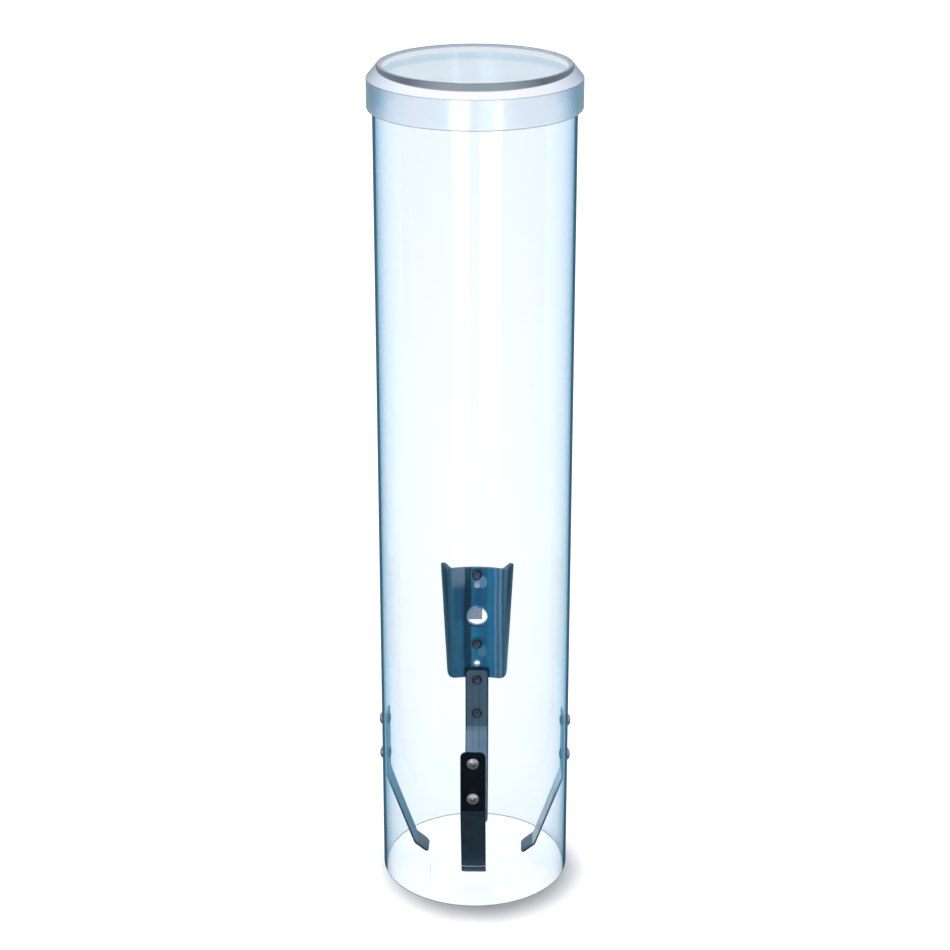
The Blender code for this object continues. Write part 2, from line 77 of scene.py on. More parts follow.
# Places read from the frame
TUBE_LOW, TUBE_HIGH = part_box("tube")
CAP_LOW, CAP_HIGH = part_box("cap")
BRACKET_LOW, BRACKET_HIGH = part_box("mounting_bracket")
PAD_LOW, PAD_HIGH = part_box("foam_tape_pad")
LABEL_LOW, LABEL_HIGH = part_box("clear_label")
BASE_LOW, BASE_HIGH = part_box("finger_base_right")
RIVET_LOW, RIVET_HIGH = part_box("finger_right_rivet_upper")
RIVET_HEIGHTS = {
    group: {level: sum(corner.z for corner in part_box(f"{node}_rivet_{level}")) / 2 for level in LEVELS}
    for group, node in (("finger", "finger_right"), ("bracket", "bracket"))
}
HINGE = Vector(next(joint["pos_m"] for joint in frame["joints"] if joint["child"] == "finger_right"))
AXIS = Vector((0.0, HINGE.y, 0.0))
UP = Vector((0.0, 0.0, 1.0))

# The gap between pieces that touch, and the smaller one under a fastener's head and the label
SEAT_GAP = 0.0003
RIVET_SEAT = 0.00005
# Points closer than this are one, and edges that turn by more than this are sharp
WELD_DISTANCE = 0.0000005
SHARP_ANGLE = math.radians(32.0)
# Length of the drill, across the wall and the sheets on it
DRILL_DEPTH = 0.016
# Radius of the circle that an outline is swept round, which does not change the turned shape
SPIN_RADIUS = 0.05
# A face whose normal is this close to a radius belongs to a round wall
ROUND_FACING = 0.999

# Steps round a piece's corners, a fastener's corners and a bevel, down a strip's flexing length and up a
# rivet's dome, and columns across a strip
CORNER_STEPS = 5
FASTENER_STEPS = 3
BEVEL_STEPS = 2
FLEX_STEPS = 5
DOME_STEPS = 8
STRIP_COLUMNS = 6

# Rounding of the cap's crisp corners, as a share of its ring's wall; the others have twice that
CRISP_SHARE = 0.15
# Radius of a pin's broken top, as a share of the pin's
PIN_NECK = 0.55


def length(name, default, description):
    """A size that a user can set, in metres."""
    return FloatProperty(name=name, description=description, default=default, unit="LENGTH", precision=5)


def turn(name, degrees, description):
    """An angle that a user can set."""
    return FloatProperty(name=name, description=description, default=math.radians(degrees), unit="ROTATION")


def count(name, default, description):
    """A number of facets or steps that a user can set."""
    return IntProperty(name=name, description=description, default=default, min=2)


def colour(name, default, description):
    """A colour that a user can set."""
    return FloatVectorProperty(
        name=name, description=description, default=default, subtype="COLOR", size=3, min=0.0, max=1.0
    )


def amount(name, default, description):
    """A plain factor that a user can set."""
    return FloatProperty(name=name, description=description, default=default, min=0.0)


class TubeSettings(bpy.types.PropertyGroup):
    """Sizes and finish of the clear tube."""

    radius: length("Outer radius", (TUBE_HIGH.x - TUBE_LOW.x) / 2, "Outside of the tube")
    wall: length("Wall", 0.0015, "Thickness of the tube's wall")
    height: length("Length", TUBE_HIGH.z, "Length of the tube, which stands on the floor")
    edge: length("Edge rounding", 0.0003, "Rounding of the cut ends")
    mount_hole: length("Mounting hole radius", 0.00535, "Radius of the large hole in the back")
    mount_height: length("Mounting hole height", 0.1142, "Height of the large hole's centre")
    small_hole: length("Small hole radius", 0.0017, "Radius of the two screw holes")
    upper_small_height: length("Upper small hole height", 0.1315, "Height of the upper screw hole")
    lower_small_height: length("Lower small hole height", 0.0876, "Height of the lower screw hole")
    sides: count("Sides", 288, "Facets round the tube")
    tint: colour("Absorption", (0.07, 0.60, 0.985), "Colour that thick plastic takes")
    rim: colour("Rim", (0.030, 0.075, 0.135), "Colour of the wall where it is seen edge on")
    foot: colour("Foot", (0.24, 0.36, 0.48), "Colour of the thin line along the tube's foot")
    density: amount("Density", 30.0, "Absorption for each metre of plastic")
    hole_wall: colour("Hole wall", (0.74, 0.80, 0.86), "Colour of the walls of the drilled holes")
    clouded: colour("Clouded", (0.98, 0.985, 1.0), "Colour that the wall's cloudy places let through")
    top_tint: colour("Top tint", (0.94, 0.955, 0.985), "Colour that the wall lets through at its top")
    passed: colour("Passed light", (0.975, 0.99, 1.0), "Colour of the light that falls past the wall")


class CapSettings(bpy.types.PropertyGroup):
    """Sizes and finish of the cap."""

    wall: length("Skirt wall", 0.0023, "Thickness of the skirt")
    disc: length("Disc thickness", 0.0022, "Thickness of the top disc")
    drop: length("Shoulder drop", 0.0027, "How far the skirt's top lies under the disc's")
    ring_rise: length("Ring rise", 0.0034, "Height of the ring over the disc")
    ring_radius: length("Ring radius", 0.0437, "Outside of the raised ring")
    ring_wall: length("Ring wall", 0.0020, "Thickness of the raised ring")
    disc_tint: colour("Disc tint", (0.77, 0.845, 0.895), "Colour that the clear disc lets through")
    # A pale blue layer that camera rays see on the clear disc
    disc_cover: colour("Disc cover", (0.635, 0.74, 0.83), "Colour of the dull layer on the disc")
    # Painted shade on the skirt and ring where they are seen edge on, and on the top of the ring's inside
    # over the painted light of its lower part
    edge_tint: colour("Edge tint", (0.30, 0.36, 0.44), "Colour of the skirt and ring seen edge on")
    ring_wall_tint: colour("Ring wall tint", (0.50, 0.58, 0.69), "Colour of the top of the ring's inside")
    passed: colour("Passed light", (0.94, 0.97, 0.99), "Colour of the light that falls past the cap")


class BracketSettings(bpy.types.PropertyGroup):
    """Sizes and finish of the saddle bracket."""

    thickness: length("Thickness", 0.0018, "Thickness of the bent sheet")
    half_angle: turn("Saddle half angle", 15.5, "Reach of the saddle round the tube, to each side")
    bend_radius: length("Bend radius", 0.0015, "Radius of the bend to each wing")
    wing_angle: turn("Wing angle", 62.0, "Turn of a wing out of the saddle's end")
    top_wing: length("Top wing", 0.0086, "Flat length of a wing at the top")
    bottom_wing: length("Bottom wing", 0.0010, "Flat length of a wing at the bottom")
    top_corner: length("Top corner", 0.0015, "Rounding of the top corners")
    bottom_corner: length("Bottom corner", 0.0042, "Rounding of the bottom corners")
    notch_clearance: length("Notch clearance", 0.0005, "Room round the rivet in the lower edge")
    edge: length("Edge rounding", 0.0003, "Rounding of the sheet's edges")
    columns: count("Columns", 90, "Facets across the sheet")
    tint: colour("Fine lines", (0.075, 0.22, 0.33), "Colour of the fine lines in the deep blue plastic")
    # Painted reflection of a lamp on the sheet's upper left, on its side towards the tube
    sheen: colour("Sheen", (0.31, 0.35, 0.42), "Colour of the patch that lies flat on the tube")
    # Pale round marks below and to the right of each rivet, on the side towards the tube
    pressed: colour("Pressed marks", (0.31, 0.49, 0.60), "Colour where a rivet presses the sheet down")
    shade: colour("Shade", (0.004, 0.012, 0.020), "Colour of the back strip's shade on the sheet")
    passed: colour("Passed light", (0.25, 0.5, 0.7), "Colour of the light that falls past the sheet")


class LabelSettings(bpy.types.PropertyGroup):
    """Sizes and finish of the bare clear label."""

    width: length("Width", 0.0390, "Width of the label round the tube")
    thickness: length("Thickness", 0.0002, "Thickness of the film")
    corner: length("Corner", 0.0025, "Rounding of the corners")
    turn: turn("Turn", -2.6, "How far the label sits round from the front")
    columns: count("Columns", 48, "Facets across the label")
    clouded: colour("Clouded", (0.98, 0.99, 1.0), "Colour that the film's cloudy places let through")
    passed: colour("Passed light", (0.99, 0.995, 1.0), "Colour of the light that falls past the film")


class FingerSettings(bpy.types.PropertyGroup):
    """Sizes and finish of the four fingers."""

    width: length("Width", BASE_HIGH.y - BASE_LOW.y, "Width of a strip")
    thickness: length("Thickness", BASE_HIGH.x - BASE_LOW.x, "Thickness of a strip")
    top_corner: length("Top corner", 0.0026, "Rounding of the upper corners")
    tip_corner: length("Tip corner", 0.0022, "Rounding of the tip's corners")
    hook_radius: length("Hook radius", 0.0300, "Distance of the hook's bend from the tube's axis")
    hook_height: length("Hook height", 0.0122, "Height of the hook's bend")
    tip_radius: length("Tip radius", 0.0235, "Distance of the tip from the tube's axis")
    tip_height: length("Tip height", 0.0069, "Height of the tip")
    bend_rounding: length("Bend rounding", 0.0020, "Radius of the bend under the rivets")
    hook_rounding: length("Hook rounding", 0.0025, "Radius of the hook's bend")
    edge: length("Edge rounding", 0.00022, "Rounding of the strip's long edges")
    flex: length("Flexing length", 0.0050, "Length over which a strip bends at its hinge")
    # Painted light and shade: the front strip darker over its bend and lighter under it and at its hook,
    # the other strips lighter, their slanted lengths lighter still as a painted highlight, the right one
    # palest in cloudy patches
    tint: colour("Front tint", (0.0028, 0.0066, 0.0105), "Colour of the front strip over its bend")
    low_tint: colour("Low tint", (0.019, 0.035, 0.048), "Colour of it under its bend, and of edges")
    hook_tint: colour("Hook tint", (0.045, 0.073, 0.090), "Colour of the front strip's hook")
    back_tint: colour("Back tint", (0.105, 0.175, 0.230), "Colour of the other strips, seen from inside")
    slant_tint: colour("Slant tint", (0.20, 0.32, 0.43), "Colour of their slanted lengths")
    pale_slant_tint: colour("Pale slant tint", (0.95, 0.98, 1.00), "Colour of the worn right slanted one")
    grain: colour("Grain", (0.030, 0.048, 0.062), "Colour of the fine lines along a strip")
    passed: colour("Passed light", (0.35, 0.42, 0.48), "Colour of the light that falls past a strip")


class RivetSettings(bpy.types.PropertyGroup):
    """Sizes and finish of the blind rivets and their pins."""

    shank: length("Shank radius", 0.0016, "Radius of the shank")
    bore: length("Bore radius", 0.00115, "Radius of the bore")
    head: length("Head radius", (RIVET_HIGH.z - RIVET_LOW.z) / 2, "Radius of the head")
    head_rim: length("Head rim", 0.0002, "Height of the head's straight rim")
    head_height: length("Head height", 0.0012, "Height of the head")
    tail: length("Tail radius", 0.0025, "Radius of the set tail")
    tail_height: length("Tail height", 0.0007, "Height of the set tail")
    pin: length("Pin radius", 0.00085, "Radius of the pin")
    pin_recess: length("Pin recess", 0.0003, "How far the pin broke off inside the head")
    pin_reach: length("Pin reach", 0.0003, "How far the pin stands out of the tail")
    pin_point: length("Pin point", 0.0003, "Chamfer of the pin's end")
    sides: count("Sides", 40, "Facets round a rivet")
    metal: colour("Metal", (0.44, 0.45, 0.48), "Colour of the rivets' heads")
    # Painted shade: the set tails on the bracket, the dark rims of all set tails and the pins' sides inside
    # the tube, and the set tails on the strips, near the strips' own colour
    set_metal: colour("Set metal", (0.010, 0.014, 0.020), "Colour of their set tails on the bracket")
    strip_tail: colour("Strip tail", (0.045, 0.070, 0.090), "Colour of their set tails on the strips")
    ring: colour("Ring", (0.32, 0.37, 0.42), "Colour of the worn ring round each bore")
    steel: colour("Steel", (0.55, 0.57, 0.60), "Colour of the pins' broken ends")


class PadSettings(bpy.types.PropertyGroup):
    """Finish of the foam tape pad."""

    edge: length("Edge rounding", 0.0004, "Rounding of the cut foam's edges")
    columns: count("Columns", 28, "Facets across the pad")
    rows: count("Rows", 30, "Facets up the pad")
    grey: colour("Foam", (0.42, 0.46, 0.54), "Colour of the foam")


class StageSettings(bpy.types.PropertyGroup):
    """Camera, floor and light."""

    lens: length("Lens", 0.08719, "Focal length on a 36 mm sensor")
    distance: length("Distance", 1.01495, "Level distance of the camera from the tube's axis")
    height: length("Height", 0.61542, "Height of the camera")
    pitch: turn("Pitch", 21.806, "How far the camera looks down")
    around: turn("Around", 1.3, "How far the camera stands round to the right of the front")
    shadow_front: length("Shadow front", 0.0095, "How far the contact shadow lies in front")
    shadow_right: length("Shadow right", 0.0035, "How far the contact shadow lies to the right")
    shadow_blur: length("Shadow blur", 0.0125, "Softness of the contact shadow")
    shadow_depth: amount("Shadow depth", 0.70, "Darkness of the contact shadow")


class DispenserSettings(bpy.types.PropertyGroup):
    """All settings of the dispenser."""

    tube: PointerProperty(type=TubeSettings)
    cap: PointerProperty(type=CapSettings)
    bracket: PointerProperty(type=BracketSettings)
    pad: PointerProperty(type=PadSettings)
    label: PointerProperty(type=LabelSettings)
    finger: PointerProperty(type=FingerSettings)
    rivet: PointerProperty(type=RivetSettings)
    stage: PointerProperty(type=StageSettings)


# Nodes


def set_inputs(tree, node, inputs):
    """Gives a node's inputs, by their names or numbers, a value or a socket to link from."""
    for key, value in inputs.items():
        if isinstance(value, bpy.types.NodeSocket):
            tree.links.new(value, node.inputs[key])
        else:
            node.inputs[key].default_value = value


def add_node(tree, kind, inputs=None, **settings):
    """Adds a node with its settings and inputs."""
    made = tree.nodes.new(kind)
    for key, value in settings.items():
        setattr(made, key, value)
    set_inputs(tree, made, inputs or {})
    return made


def feed(tree, kind, inputs=None, **settings):
    """Adds a node and returns its first output."""
    return add_node(tree, kind, inputs, **settings).outputs[0]


def math_node(tree, operation, first, second=0.0):
    """One sum on two values or sockets."""
    return feed(tree, "ShaderNodeMath", {0: first, 1: second}, operation=operation)


def times(tree, first, *others):
    """All values multiplied: of masks, the place that they share."""
    for other in others:
        first = math_node(tree, "MULTIPLY", first, other)
    return first


def most(tree, first, *others):
    """The highest of the values: of masks, the places of any."""
    for other in others:
        first = math_node(tree, "MAXIMUM", first, other)
    return first


def vector_node(tree, operation, first, second):
    """One sum on two vectors."""
    return feed(tree, "ShaderNodeVectorMath", {0: first, 1: second}, operation=operation)


def length_node(tree, vector):
    """How long a vector is."""
    return add_node(tree, "ShaderNodeVectorMath", {0: vector}, operation="LENGTH").outputs["Value"]


def vector_of(tree, x=0.0, y=0.0, z=0.0):
    """A vector from its parts."""
    return feed(tree, "ShaderNodeCombineXYZ", {0: x, 1: y, 2: z})


def parts_of(tree, vector):
    """The three parts of a vector."""
    return add_node(tree, "ShaderNodeSeparateXYZ", {0: vector}).outputs


def map_value(tree, value, from_low, from_high, to_low=0.0, to_high=1.0, smooth=False):
    """Maps a value from one range to another, and holds it there."""
    source = {"Value": value, "From Min": from_low, "From Max": from_high}
    target = {"To Min": to_low, "To Max": to_high}
    kind = "SMOOTHSTEP" if smooth else "LINEAR"
    return feed(tree, "ShaderNodeMapRange", {**source, **target}, interpolation_type=kind)


def spread(tree, mask, low, high):
    """A value that goes from low to high as a mask goes from zero to one."""
    return map_value(tree, mask, 0.0, 1.0, low, high)


def between(tree, value, low, high, soft):
    """One between two values, with soft ends."""
    after = map_value(tree, value, low - soft, low + soft, smooth=True)
    before = map_value(tree, value, high - soft, high + soft, 1.0, 0.0, smooth=True)
    return times(tree, after, before)


def mix_value(tree, factor, first, second):
    """Mixes two values."""
    return feed(tree, "ShaderNodeMix", {"Factor": factor, "A": first, "B": second})


# Numbers of a mix node's factor, its two colours and its mixed colour
MIX_FACTOR = 0
MIX_FIRST = 6
MIX_SECOND = 7
MIXED = 2


def mix_colour(tree, factor, first, second):
    """Mixes two colours."""
    inputs = {MIX_FACTOR: factor}
    for key, value in ((MIX_FIRST, first), (MIX_SECOND, second)):
        inputs[key] = value if isinstance(value, bpy.types.NodeSocket) else (*value, 1.0)
    return add_node(tree, "ShaderNodeMix", inputs, data_type="RGBA").outputs[MIXED]


def add_sockets(tree, direction, sockets):
    """Gives a tree its named inputs or outputs, from (name, socket type, default) rows."""
    for name, kind, default in sockets:
        socket = tree.interface.new_socket(name, in_out=direction, socket_type=kind)
        if default is not None:
            socket.default_value = default


def shared_tree(build):
    """A node tree, named as the function that builds it, built the first time it is asked for."""
    return bpy.data.node_groups.get(build.__name__) or build()


# Geometry trees

# Inputs of the trees, as (name, socket type, default) rows
PLACES_INPUT = [("Places", "NodeSocketObject", None)]
AXIS_INPUT = [("Axis", "NodeSocketVector", AXIS)]
TURNED_INPUTS = [
    ("Segments", "NodeSocketInt", 64),
    ("Corner Steps", "NodeSocketInt", CORNER_STEPS),
    ("Material", "NodeSocketMaterial", None),
]
DRILL_INPUTS = [
    ("Depth", "NodeSocketFloat", DRILL_DEPTH),
    ("Segments", "NodeSocketInt", 48),
    ("Material", "NodeSocketMaterial", None),
]

# What a vector is multiplied by to leave its level part
LEVEL_PART = (1.0, 1.0, 0.0)


def geometry_tree(name, inputs):
    """An empty geometry tree with a geometry and the given sizes coming in: (tree, what comes in)."""
    tree = bpy.data.node_groups.new(name, "GeometryNodeTree")
    add_sockets(tree, "INPUT", [("Geometry", "NodeSocketGeometry", None)] + inputs)
    add_sockets(tree, "OUTPUT", [("Geometry", "NodeSocketGeometry", None)])
    return tree, add_node(tree, "NodeGroupInput").outputs


def finish_tree(tree, geometry, given):
    """Realizes the instances, sets the material and ends the tree."""
    real = feed(tree, "GeometryNodeRealizeInstances", {"Geometry": geometry})
    painted = feed(tree, "GeometryNodeSetMaterial", {"Geometry": real, "Material": given["Material"]})
    add_node(tree, "NodeGroupOutput", {"Geometry": painted})
    return tree


def stored(tree, name, kind="FLOAT"):
    """What the points of a mesh store under a name."""
    return feed(tree, "GeometryNodeInputNamedAttribute", {"Name": name}, data_type=kind)


def add_turning(tree, given):
    """Rounds the corners of an outline in the XZ plane and spins it about Z. Returns the turned mesh."""
    curve = feed(tree, "GeometryNodeMeshToCurve", {"Mesh": given["Geometry"]})
    corners = {"Count": given["Corner Steps"], "Limit Radius": True, "Radius": stored(tree, "rounding")}
    rounded = feed(tree, "GeometryNodeFilletCurve", {"Curve": curve, **corners}, mode="POLY")
    x, _, z = parts_of(tree, feed(tree, "GeometryNodeInputPosition"))
    from_circle = math_node(tree, "SUBTRACT", x, SPIN_RADIUS)
    laid = vector_of(tree, from_circle, math_node(tree, "MULTIPLY", z, -1.0))
    profile = feed(tree, "GeometryNodeSetPosition", {"Geometry": rounded, "Position": laid})
    ring = {"Resolution": given["Segments"], "Radius": SPIN_RADIUS}
    circle = feed(tree, "GeometryNodeCurvePrimitiveCircle", ring)
    swept = feed(tree, "GeometryNodeCurveToMesh", {"Curve": circle, "Profile Curve": profile})
    return feed(tree, "GeometryNodeMergeByDistance", {"Geometry": swept, "Distance": WELD_DISTANCE})


def add_aimed(tree, places, instance, scale=(1.0, 1.0, 1.0)):
    """Puts a copy of a shape on each place, its Z axis along the place's aim. Returns the copies."""
    spots = add_node(tree, "GeometryNodeObjectInfo", {"Object": places}, transform_space="ORIGINAL")
    aim = stored(tree, "aim", "FLOAT_VECTOR")
    turned = feed(tree, "FunctionNodeAlignRotationToVector", {"Vector": aim}, axis="Z")
    copy = {"Instance": instance, "Rotation": turned, "Scale": scale}
    return feed(tree, "GeometryNodeInstanceOnPoints", {"Points": spots.outputs["Geometry"], **copy})


def turned_piece():
    """Spins one outline into a round piece about the tube's axis."""
    tree, given = geometry_tree("turned_piece", TURNED_INPUTS + AXIS_INPUT)
    turned = {"Geometry": add_turning(tree, given), "Translation": given["Axis"]}
    return finish_tree(tree, feed(tree, "GeometryNodeTransform", turned), given)


def fastener_row():
    """Spins an outline into a fastener and sets one on each place.

    Each point stores its reach, which is its distance from the fastener's axis.
    """
    tree, given = geometry_tree("fastener_row", PLACES_INPUT + TURNED_INPUTS)
    place = feed(tree, "GeometryNodeInputPosition")
    reach = length_node(tree, vector_node(tree, "MULTIPLY", place, LEVEL_PART))
    marked = feed(
        tree,
        "GeometryNodeStoreNamedAttribute",
        {"Geometry": add_turning(tree, given), "Name": "reach", "Value": reach},
        data_type="FLOAT",
        domain="POINT",
    )
    return finish_tree(tree, add_aimed(tree, given["Places"], marked), given)


def drilled_holes():
    """Drills a round hole at each place, as wide as the place says."""
    tree, given = geometry_tree("drilled_holes", PLACES_INPUT + DRILL_INPUTS)
    bit = {"Vertices": given["Segments"], "Radius": 1.0, "Depth": given["Depth"]}
    width = stored(tree, "hole_radius")
    scale = vector_of(tree, width, width, 1.0)
    bits = add_aimed(tree, given["Places"], feed(tree, "GeometryNodeMeshCylinder", bit), scale)
    real = feed(tree, "GeometryNodeRealizeInstances", {"Geometry": bits})
    solids = {"Mesh 1": given["Geometry"], "Mesh 2": real}
    cut = feed(tree, "GeometryNodeMeshBoolean", solids, operation="DIFFERENCE", solver="EXACT")
    return finish_tree(tree, cut, given)


def add_tree(item, build, **values):
    """Runs a geometry tree on an object, with its inputs set by their identifiers."""
    modifier = item.modifiers.new(build.__name__, "NODES")
    modifier.node_group = shared_tree(build)
    for socket in modifier.node_group.interface.items_tree:
        key = socket.name.lower().replace(" ", "_")
        if socket.in_out == "INPUT" and key in values:
            modifier[socket.identifier] = values[key]


# Meshes


def add_object(name, data):
    """A new object at the origin."""
    item = bpy.data.objects.new(name, data)
    bpy.context.scene.collection.objects.link(item)
    return item


def store(mesh, name, kind, field, values):
    """Stores a value on each point of a mesh."""
    mesh.attributes.new(name, kind, "POINT").data.foreach_set(field, values)


def outline_mesh(name, points, closed):
    """An outline in the XZ plane from (radius, height, rounding) points."""
    mesh = bpy.data.meshes.new(name)
    total = len(points)
    edges = [(index, (index + 1) % total) for index in range(total if closed else total - 1)]
    mesh.from_pydata([(radius, 0.0, height) for radius, height, _ in points], edges, [])
    store(mesh, "rounding", "FLOAT", "value", [rounding for _, _, rounding in points])
    return mesh


def places_object(name, places):
    """Points with the aim and radius of a hole or fastener, from (angle, distance, height, radius) rows."""
    mesh = bpy.data.meshes.new(name)
    aims = [Vector((math.cos(angle), math.sin(angle), 0.0)) for angle, _, _, _ in places]
    rows = zip(aims, places)
    points = [AXIS + aim * distance + UP * height for aim, (_, distance, height, _) in rows]
    mesh.from_pydata(points, [], [])
    store(mesh, "aim", "FLOAT_VECTOR", "vector", [part for aim in aims for part in aim])
    store(mesh, "hole_radius", "FLOAT", "value", [radius for _, _, _, radius in places])
    return add_object(name, mesh)


def write_mesh(builder, mesh):
    """Welds doubled points, turns the faces outwards and fills the mesh."""
    bmesh.ops.remove_doubles(builder, verts=builder.verts, dist=WELD_DISTANCE)
    bmesh.ops.recalc_face_normals(builder, faces=builder.faces)
    builder.to_mesh(mesh)
    builder.free()
    return mesh


def wall_mesh(name, front, rear):
    """A wall between two grids of points that match, given as rows, closed all round its edge."""
    builder = bmesh.new()
    front, rear = ([[builder.verts.new(point) for point in row] for row in grid] for grid in (front, rear))
    last_row = len(front) - 1
    last_column = len(front[0]) - 1
    for grid in (front, rear):
        for low, high in zip(grid, grid[1:]):
            for column in range(last_column):
                builder.faces.new((low[column], low[column + 1], high[column + 1], high[column]))
    rim = [(0, column) for column in range(last_column)]
    rim += [(row, last_column) for row in range(last_row)]
    rim += [(last_row, column) for column in range(last_column, 0, -1)]
    rim += [(row, 0) for row in range(last_row, 0, -1)]
    for (row, column), (next_row, next_column) in zip(rim, rim[1:] + rim[:1]):
        front_edge = (front[row][column], front[next_row][next_column])
        rear_edge = (rear[next_row][next_column], rear[row][column])
        builder.faces.new(front_edge + rear_edge)
    return write_mesh(builder, bpy.data.meshes.new(name))


def sheet_mesh(name, rows, thickness):
    """A sheet of even thickness from rows of (point, normal) pairs."""
    sides = (thickness / 2, -thickness / 2)
    front, rear = ([[point + normal * side for point, normal in row] for row in rows] for side in sides)
    return wall_mesh(name, front, rear)


def corner_steps(corner):
    """A rounded corner from its end: (distance along the side, inset from it) pairs."""
    angles = [step * math.pi / 2 / CORNER_STEPS for step in range(CORNER_STEPS + 1)]
    return [(corner * (1 - math.cos(angle)), corner * (1 - math.sin(angle))) for angle in angles]


def corner_stations(low, high, low_corner, high_corner):
    """Heights from low to high with the inset that rounds each end's corners: (height, inset) pairs."""
    stations = [(low + along, inset) for along, inset in corner_steps(low_corner)]
    return stations + [(high - along, inset) for along, inset in reversed(corner_steps(high_corner))]


def add_bevel(item, width):
    """Rounds an object's sharp edges."""
    bevel = item.modifiers.new("edge_rounding", "BEVEL")
    bevel.width = width
    bevel.segments = BEVEL_STEPS
    bevel.limit_method = "ANGLE"
    bevel.angle_limit = SHARP_ANGLE
    bevel.use_clamp_overlap = True


def make_plain(item):
    """Turns an object with modifiers into a plain mesh."""
    depsgraph = bpy.context.evaluated_depsgraph_get()
    mesh = bpy.data.meshes.new_from_object(item.evaluated_get(depsgraph))
    item.modifiers.clear()
    item.data = mesh
    mesh.name = item.name
    return mesh


def settle(item, smooth_wall=False):
    """Makes an object a plain mesh with outward faces, the large ones flat up to their rounded edges.

    A smooth wall gets the exact normals of a cylinder about the tube's axis on its upright faces.
    """
    mesh = make_plain(item)
    builder = bmesh.new()
    builder.from_mesh(mesh)
    write_mesh(builder, mesh)
    mesh.shade_smooth()
    mesh.set_sharp_from_angle(angle=SHARP_ANGLE)
    weighted = item.modifiers.new("weighted_normals", "WEIGHTED_NORMAL")
    weighted.weight = 100
    weighted.keep_sharp = True
    mesh = make_plain(item)
    if smooth_wall:
        round_normals(mesh)
    return item


def round_normals(mesh):
    """Gives each upright face that looks along a radius the exact normals of a cylinder."""
    normals = [Vector(normal.vector) for normal in mesh.corner_normals]
    for face in mesh.polygons:
        away = face.center - AXIS
        away.z = 0.0
        facing = face.normal.dot(away.normalized())
        if abs(facing) < ROUND_FACING:
            continue
        for corner in face.loop_indices:
            point = mesh.vertices[mesh.loops[corner].vertex_index].co - AXIS
            point.z = 0.0
            normals[corner] = point.normalized() * math.copysign(1.0, facing)
    mesh.normals_split_custom_set(normals)


def drill_and_settle(item, rows, material, smooth_wall=False):
    """Drills holes in an object, from (angle, distance, height, radius) rows, and makes it a plain mesh."""
    places = places_object("drill_places", rows)
    add_tree(item, drilled_holes, places=places, material=material)
    settle(item, smooth_wall)
    bpy.data.objects.remove(places)


# Shapes that follow the sizes


def mounting_holes(tube):
    """Height and radius of each hole in the back that takes no rivet."""
    small_heights = (tube.upper_small_height, tube.lower_small_height)
    return [(tube.mount_height, tube.mount_hole)] + [(height, tube.small_hole) for height in small_heights]


def hole_places(settings):
    """Every round hole through the wall, as (angle, distance, height, radius) rows."""
    heights = {group: levels.values() for group, levels in RIVET_HEIGHTS.items()}
    around = settings.rivet.shank + SEAT_GAP
    holes = [(angle, height, around) for angle in SIDE_ANGLES.values() for height in heights["finger"]]
    holes += [(BACK_ANGLE, height, around) for height in heights["bracket"]]
    holes += [(BACK_ANGLE, height, radius) for height, radius in mounting_holes(settings.tube)]
    return [(angle, settings.tube.radius, height, radius) for angle, height, radius in holes]


def upright_rows(stations, columns, half_width, across):
    """Rows of (point, normal) up a sheet that stands round the tube, one for each (height, inset) station.

    Half width gives how far a row reaches to each side, and across gives the point and normal at a distance
    from the sheet's middle.
    """
    rows = []
    for height, inset in stations:
        reach = half_width(height) - inset
        row = [across((2 * column / columns - 1) * reach) for column in range(columns + 1)]
        rows.append([(point + AXIS + UP * height, normal) for point, normal in row])
    return rows


def bracket_section(distance, bracket, middle):
    """Middle of the bracket's sheet at an arc distance from its centre line: (point, normal)."""
    saddle_end = middle * bracket.half_angle
    bend_end = saddle_end + bracket.bend_radius * (bracket.half_angle + bracket.wing_angle)
    side = math.copysign(1.0, distance)
    reach = abs(distance)
    if reach <= saddle_end:
        angle = reach / middle
        x, y, heading = middle * math.sin(angle), middle * math.cos(angle), -angle
    else:
        bent = min(reach, bend_end) - saddle_end
        heading = bent / bracket.bend_radius - bracket.half_angle
        x = middle * math.sin(bracket.half_angle)
        x += bracket.bend_radius * (math.sin(heading) + math.sin(bracket.half_angle))
        y = middle * math.cos(bracket.half_angle)
        y += bracket.bend_radius * (math.cos(bracket.half_angle) - math.cos(heading))
        wing = max(reach - bend_end, 0.0)
        x += wing * math.cos(heading)
        y += wing * math.sin(heading)
    return Vector((side * x, y, 0.0)), Vector((-side * math.sin(heading), math.cos(heading), 0.0))


def bracket_rows(bracket, tube):
    """Rows of (point, normal) up the bracket, wide at the top and narrow at the bottom."""
    middle = tube.radius + SEAT_GAP + bracket.thickness / 2
    bend = bracket.bend_radius * (bracket.half_angle + bracket.wing_angle)
    low, high = BRACKET_LOW.z, BRACKET_HIGH.z

    def half_width(height):
        rise_share = (height - low) / (high - low)
        wing = bracket.bottom_wing + rise_share * (bracket.top_wing - bracket.bottom_wing)
        return middle * bracket.half_angle + bend + wing

    def across(distance):
        return bracket_section(distance, bracket, middle)

    stations = corner_stations(low, high, bracket.bottom_corner, bracket.top_corner)
    return upright_rows(stations, bracket.columns, half_width, across)


def label_rows(label, tube):
    """Rows of (point, normal) up the label, bent round the front of the tube."""
    middle = tube.radius + RIVET_SEAT + label.thickness / 2

    def half_width(_):
        return label.width / 2

    def across(distance):
        angle = label.turn + distance / middle
        normal = Vector((math.sin(angle), -math.cos(angle), 0.0))
        return normal * middle, normal

    stations = corner_stations(LABEL_LOW.z, LABEL_HIGH.z, label.corner, label.corner)
    return upright_rows(stations, label.columns, half_width, across)


def heading_of(way):
    """Angle of a direction in the XZ plane."""
    return math.atan2(way.z, way.x)


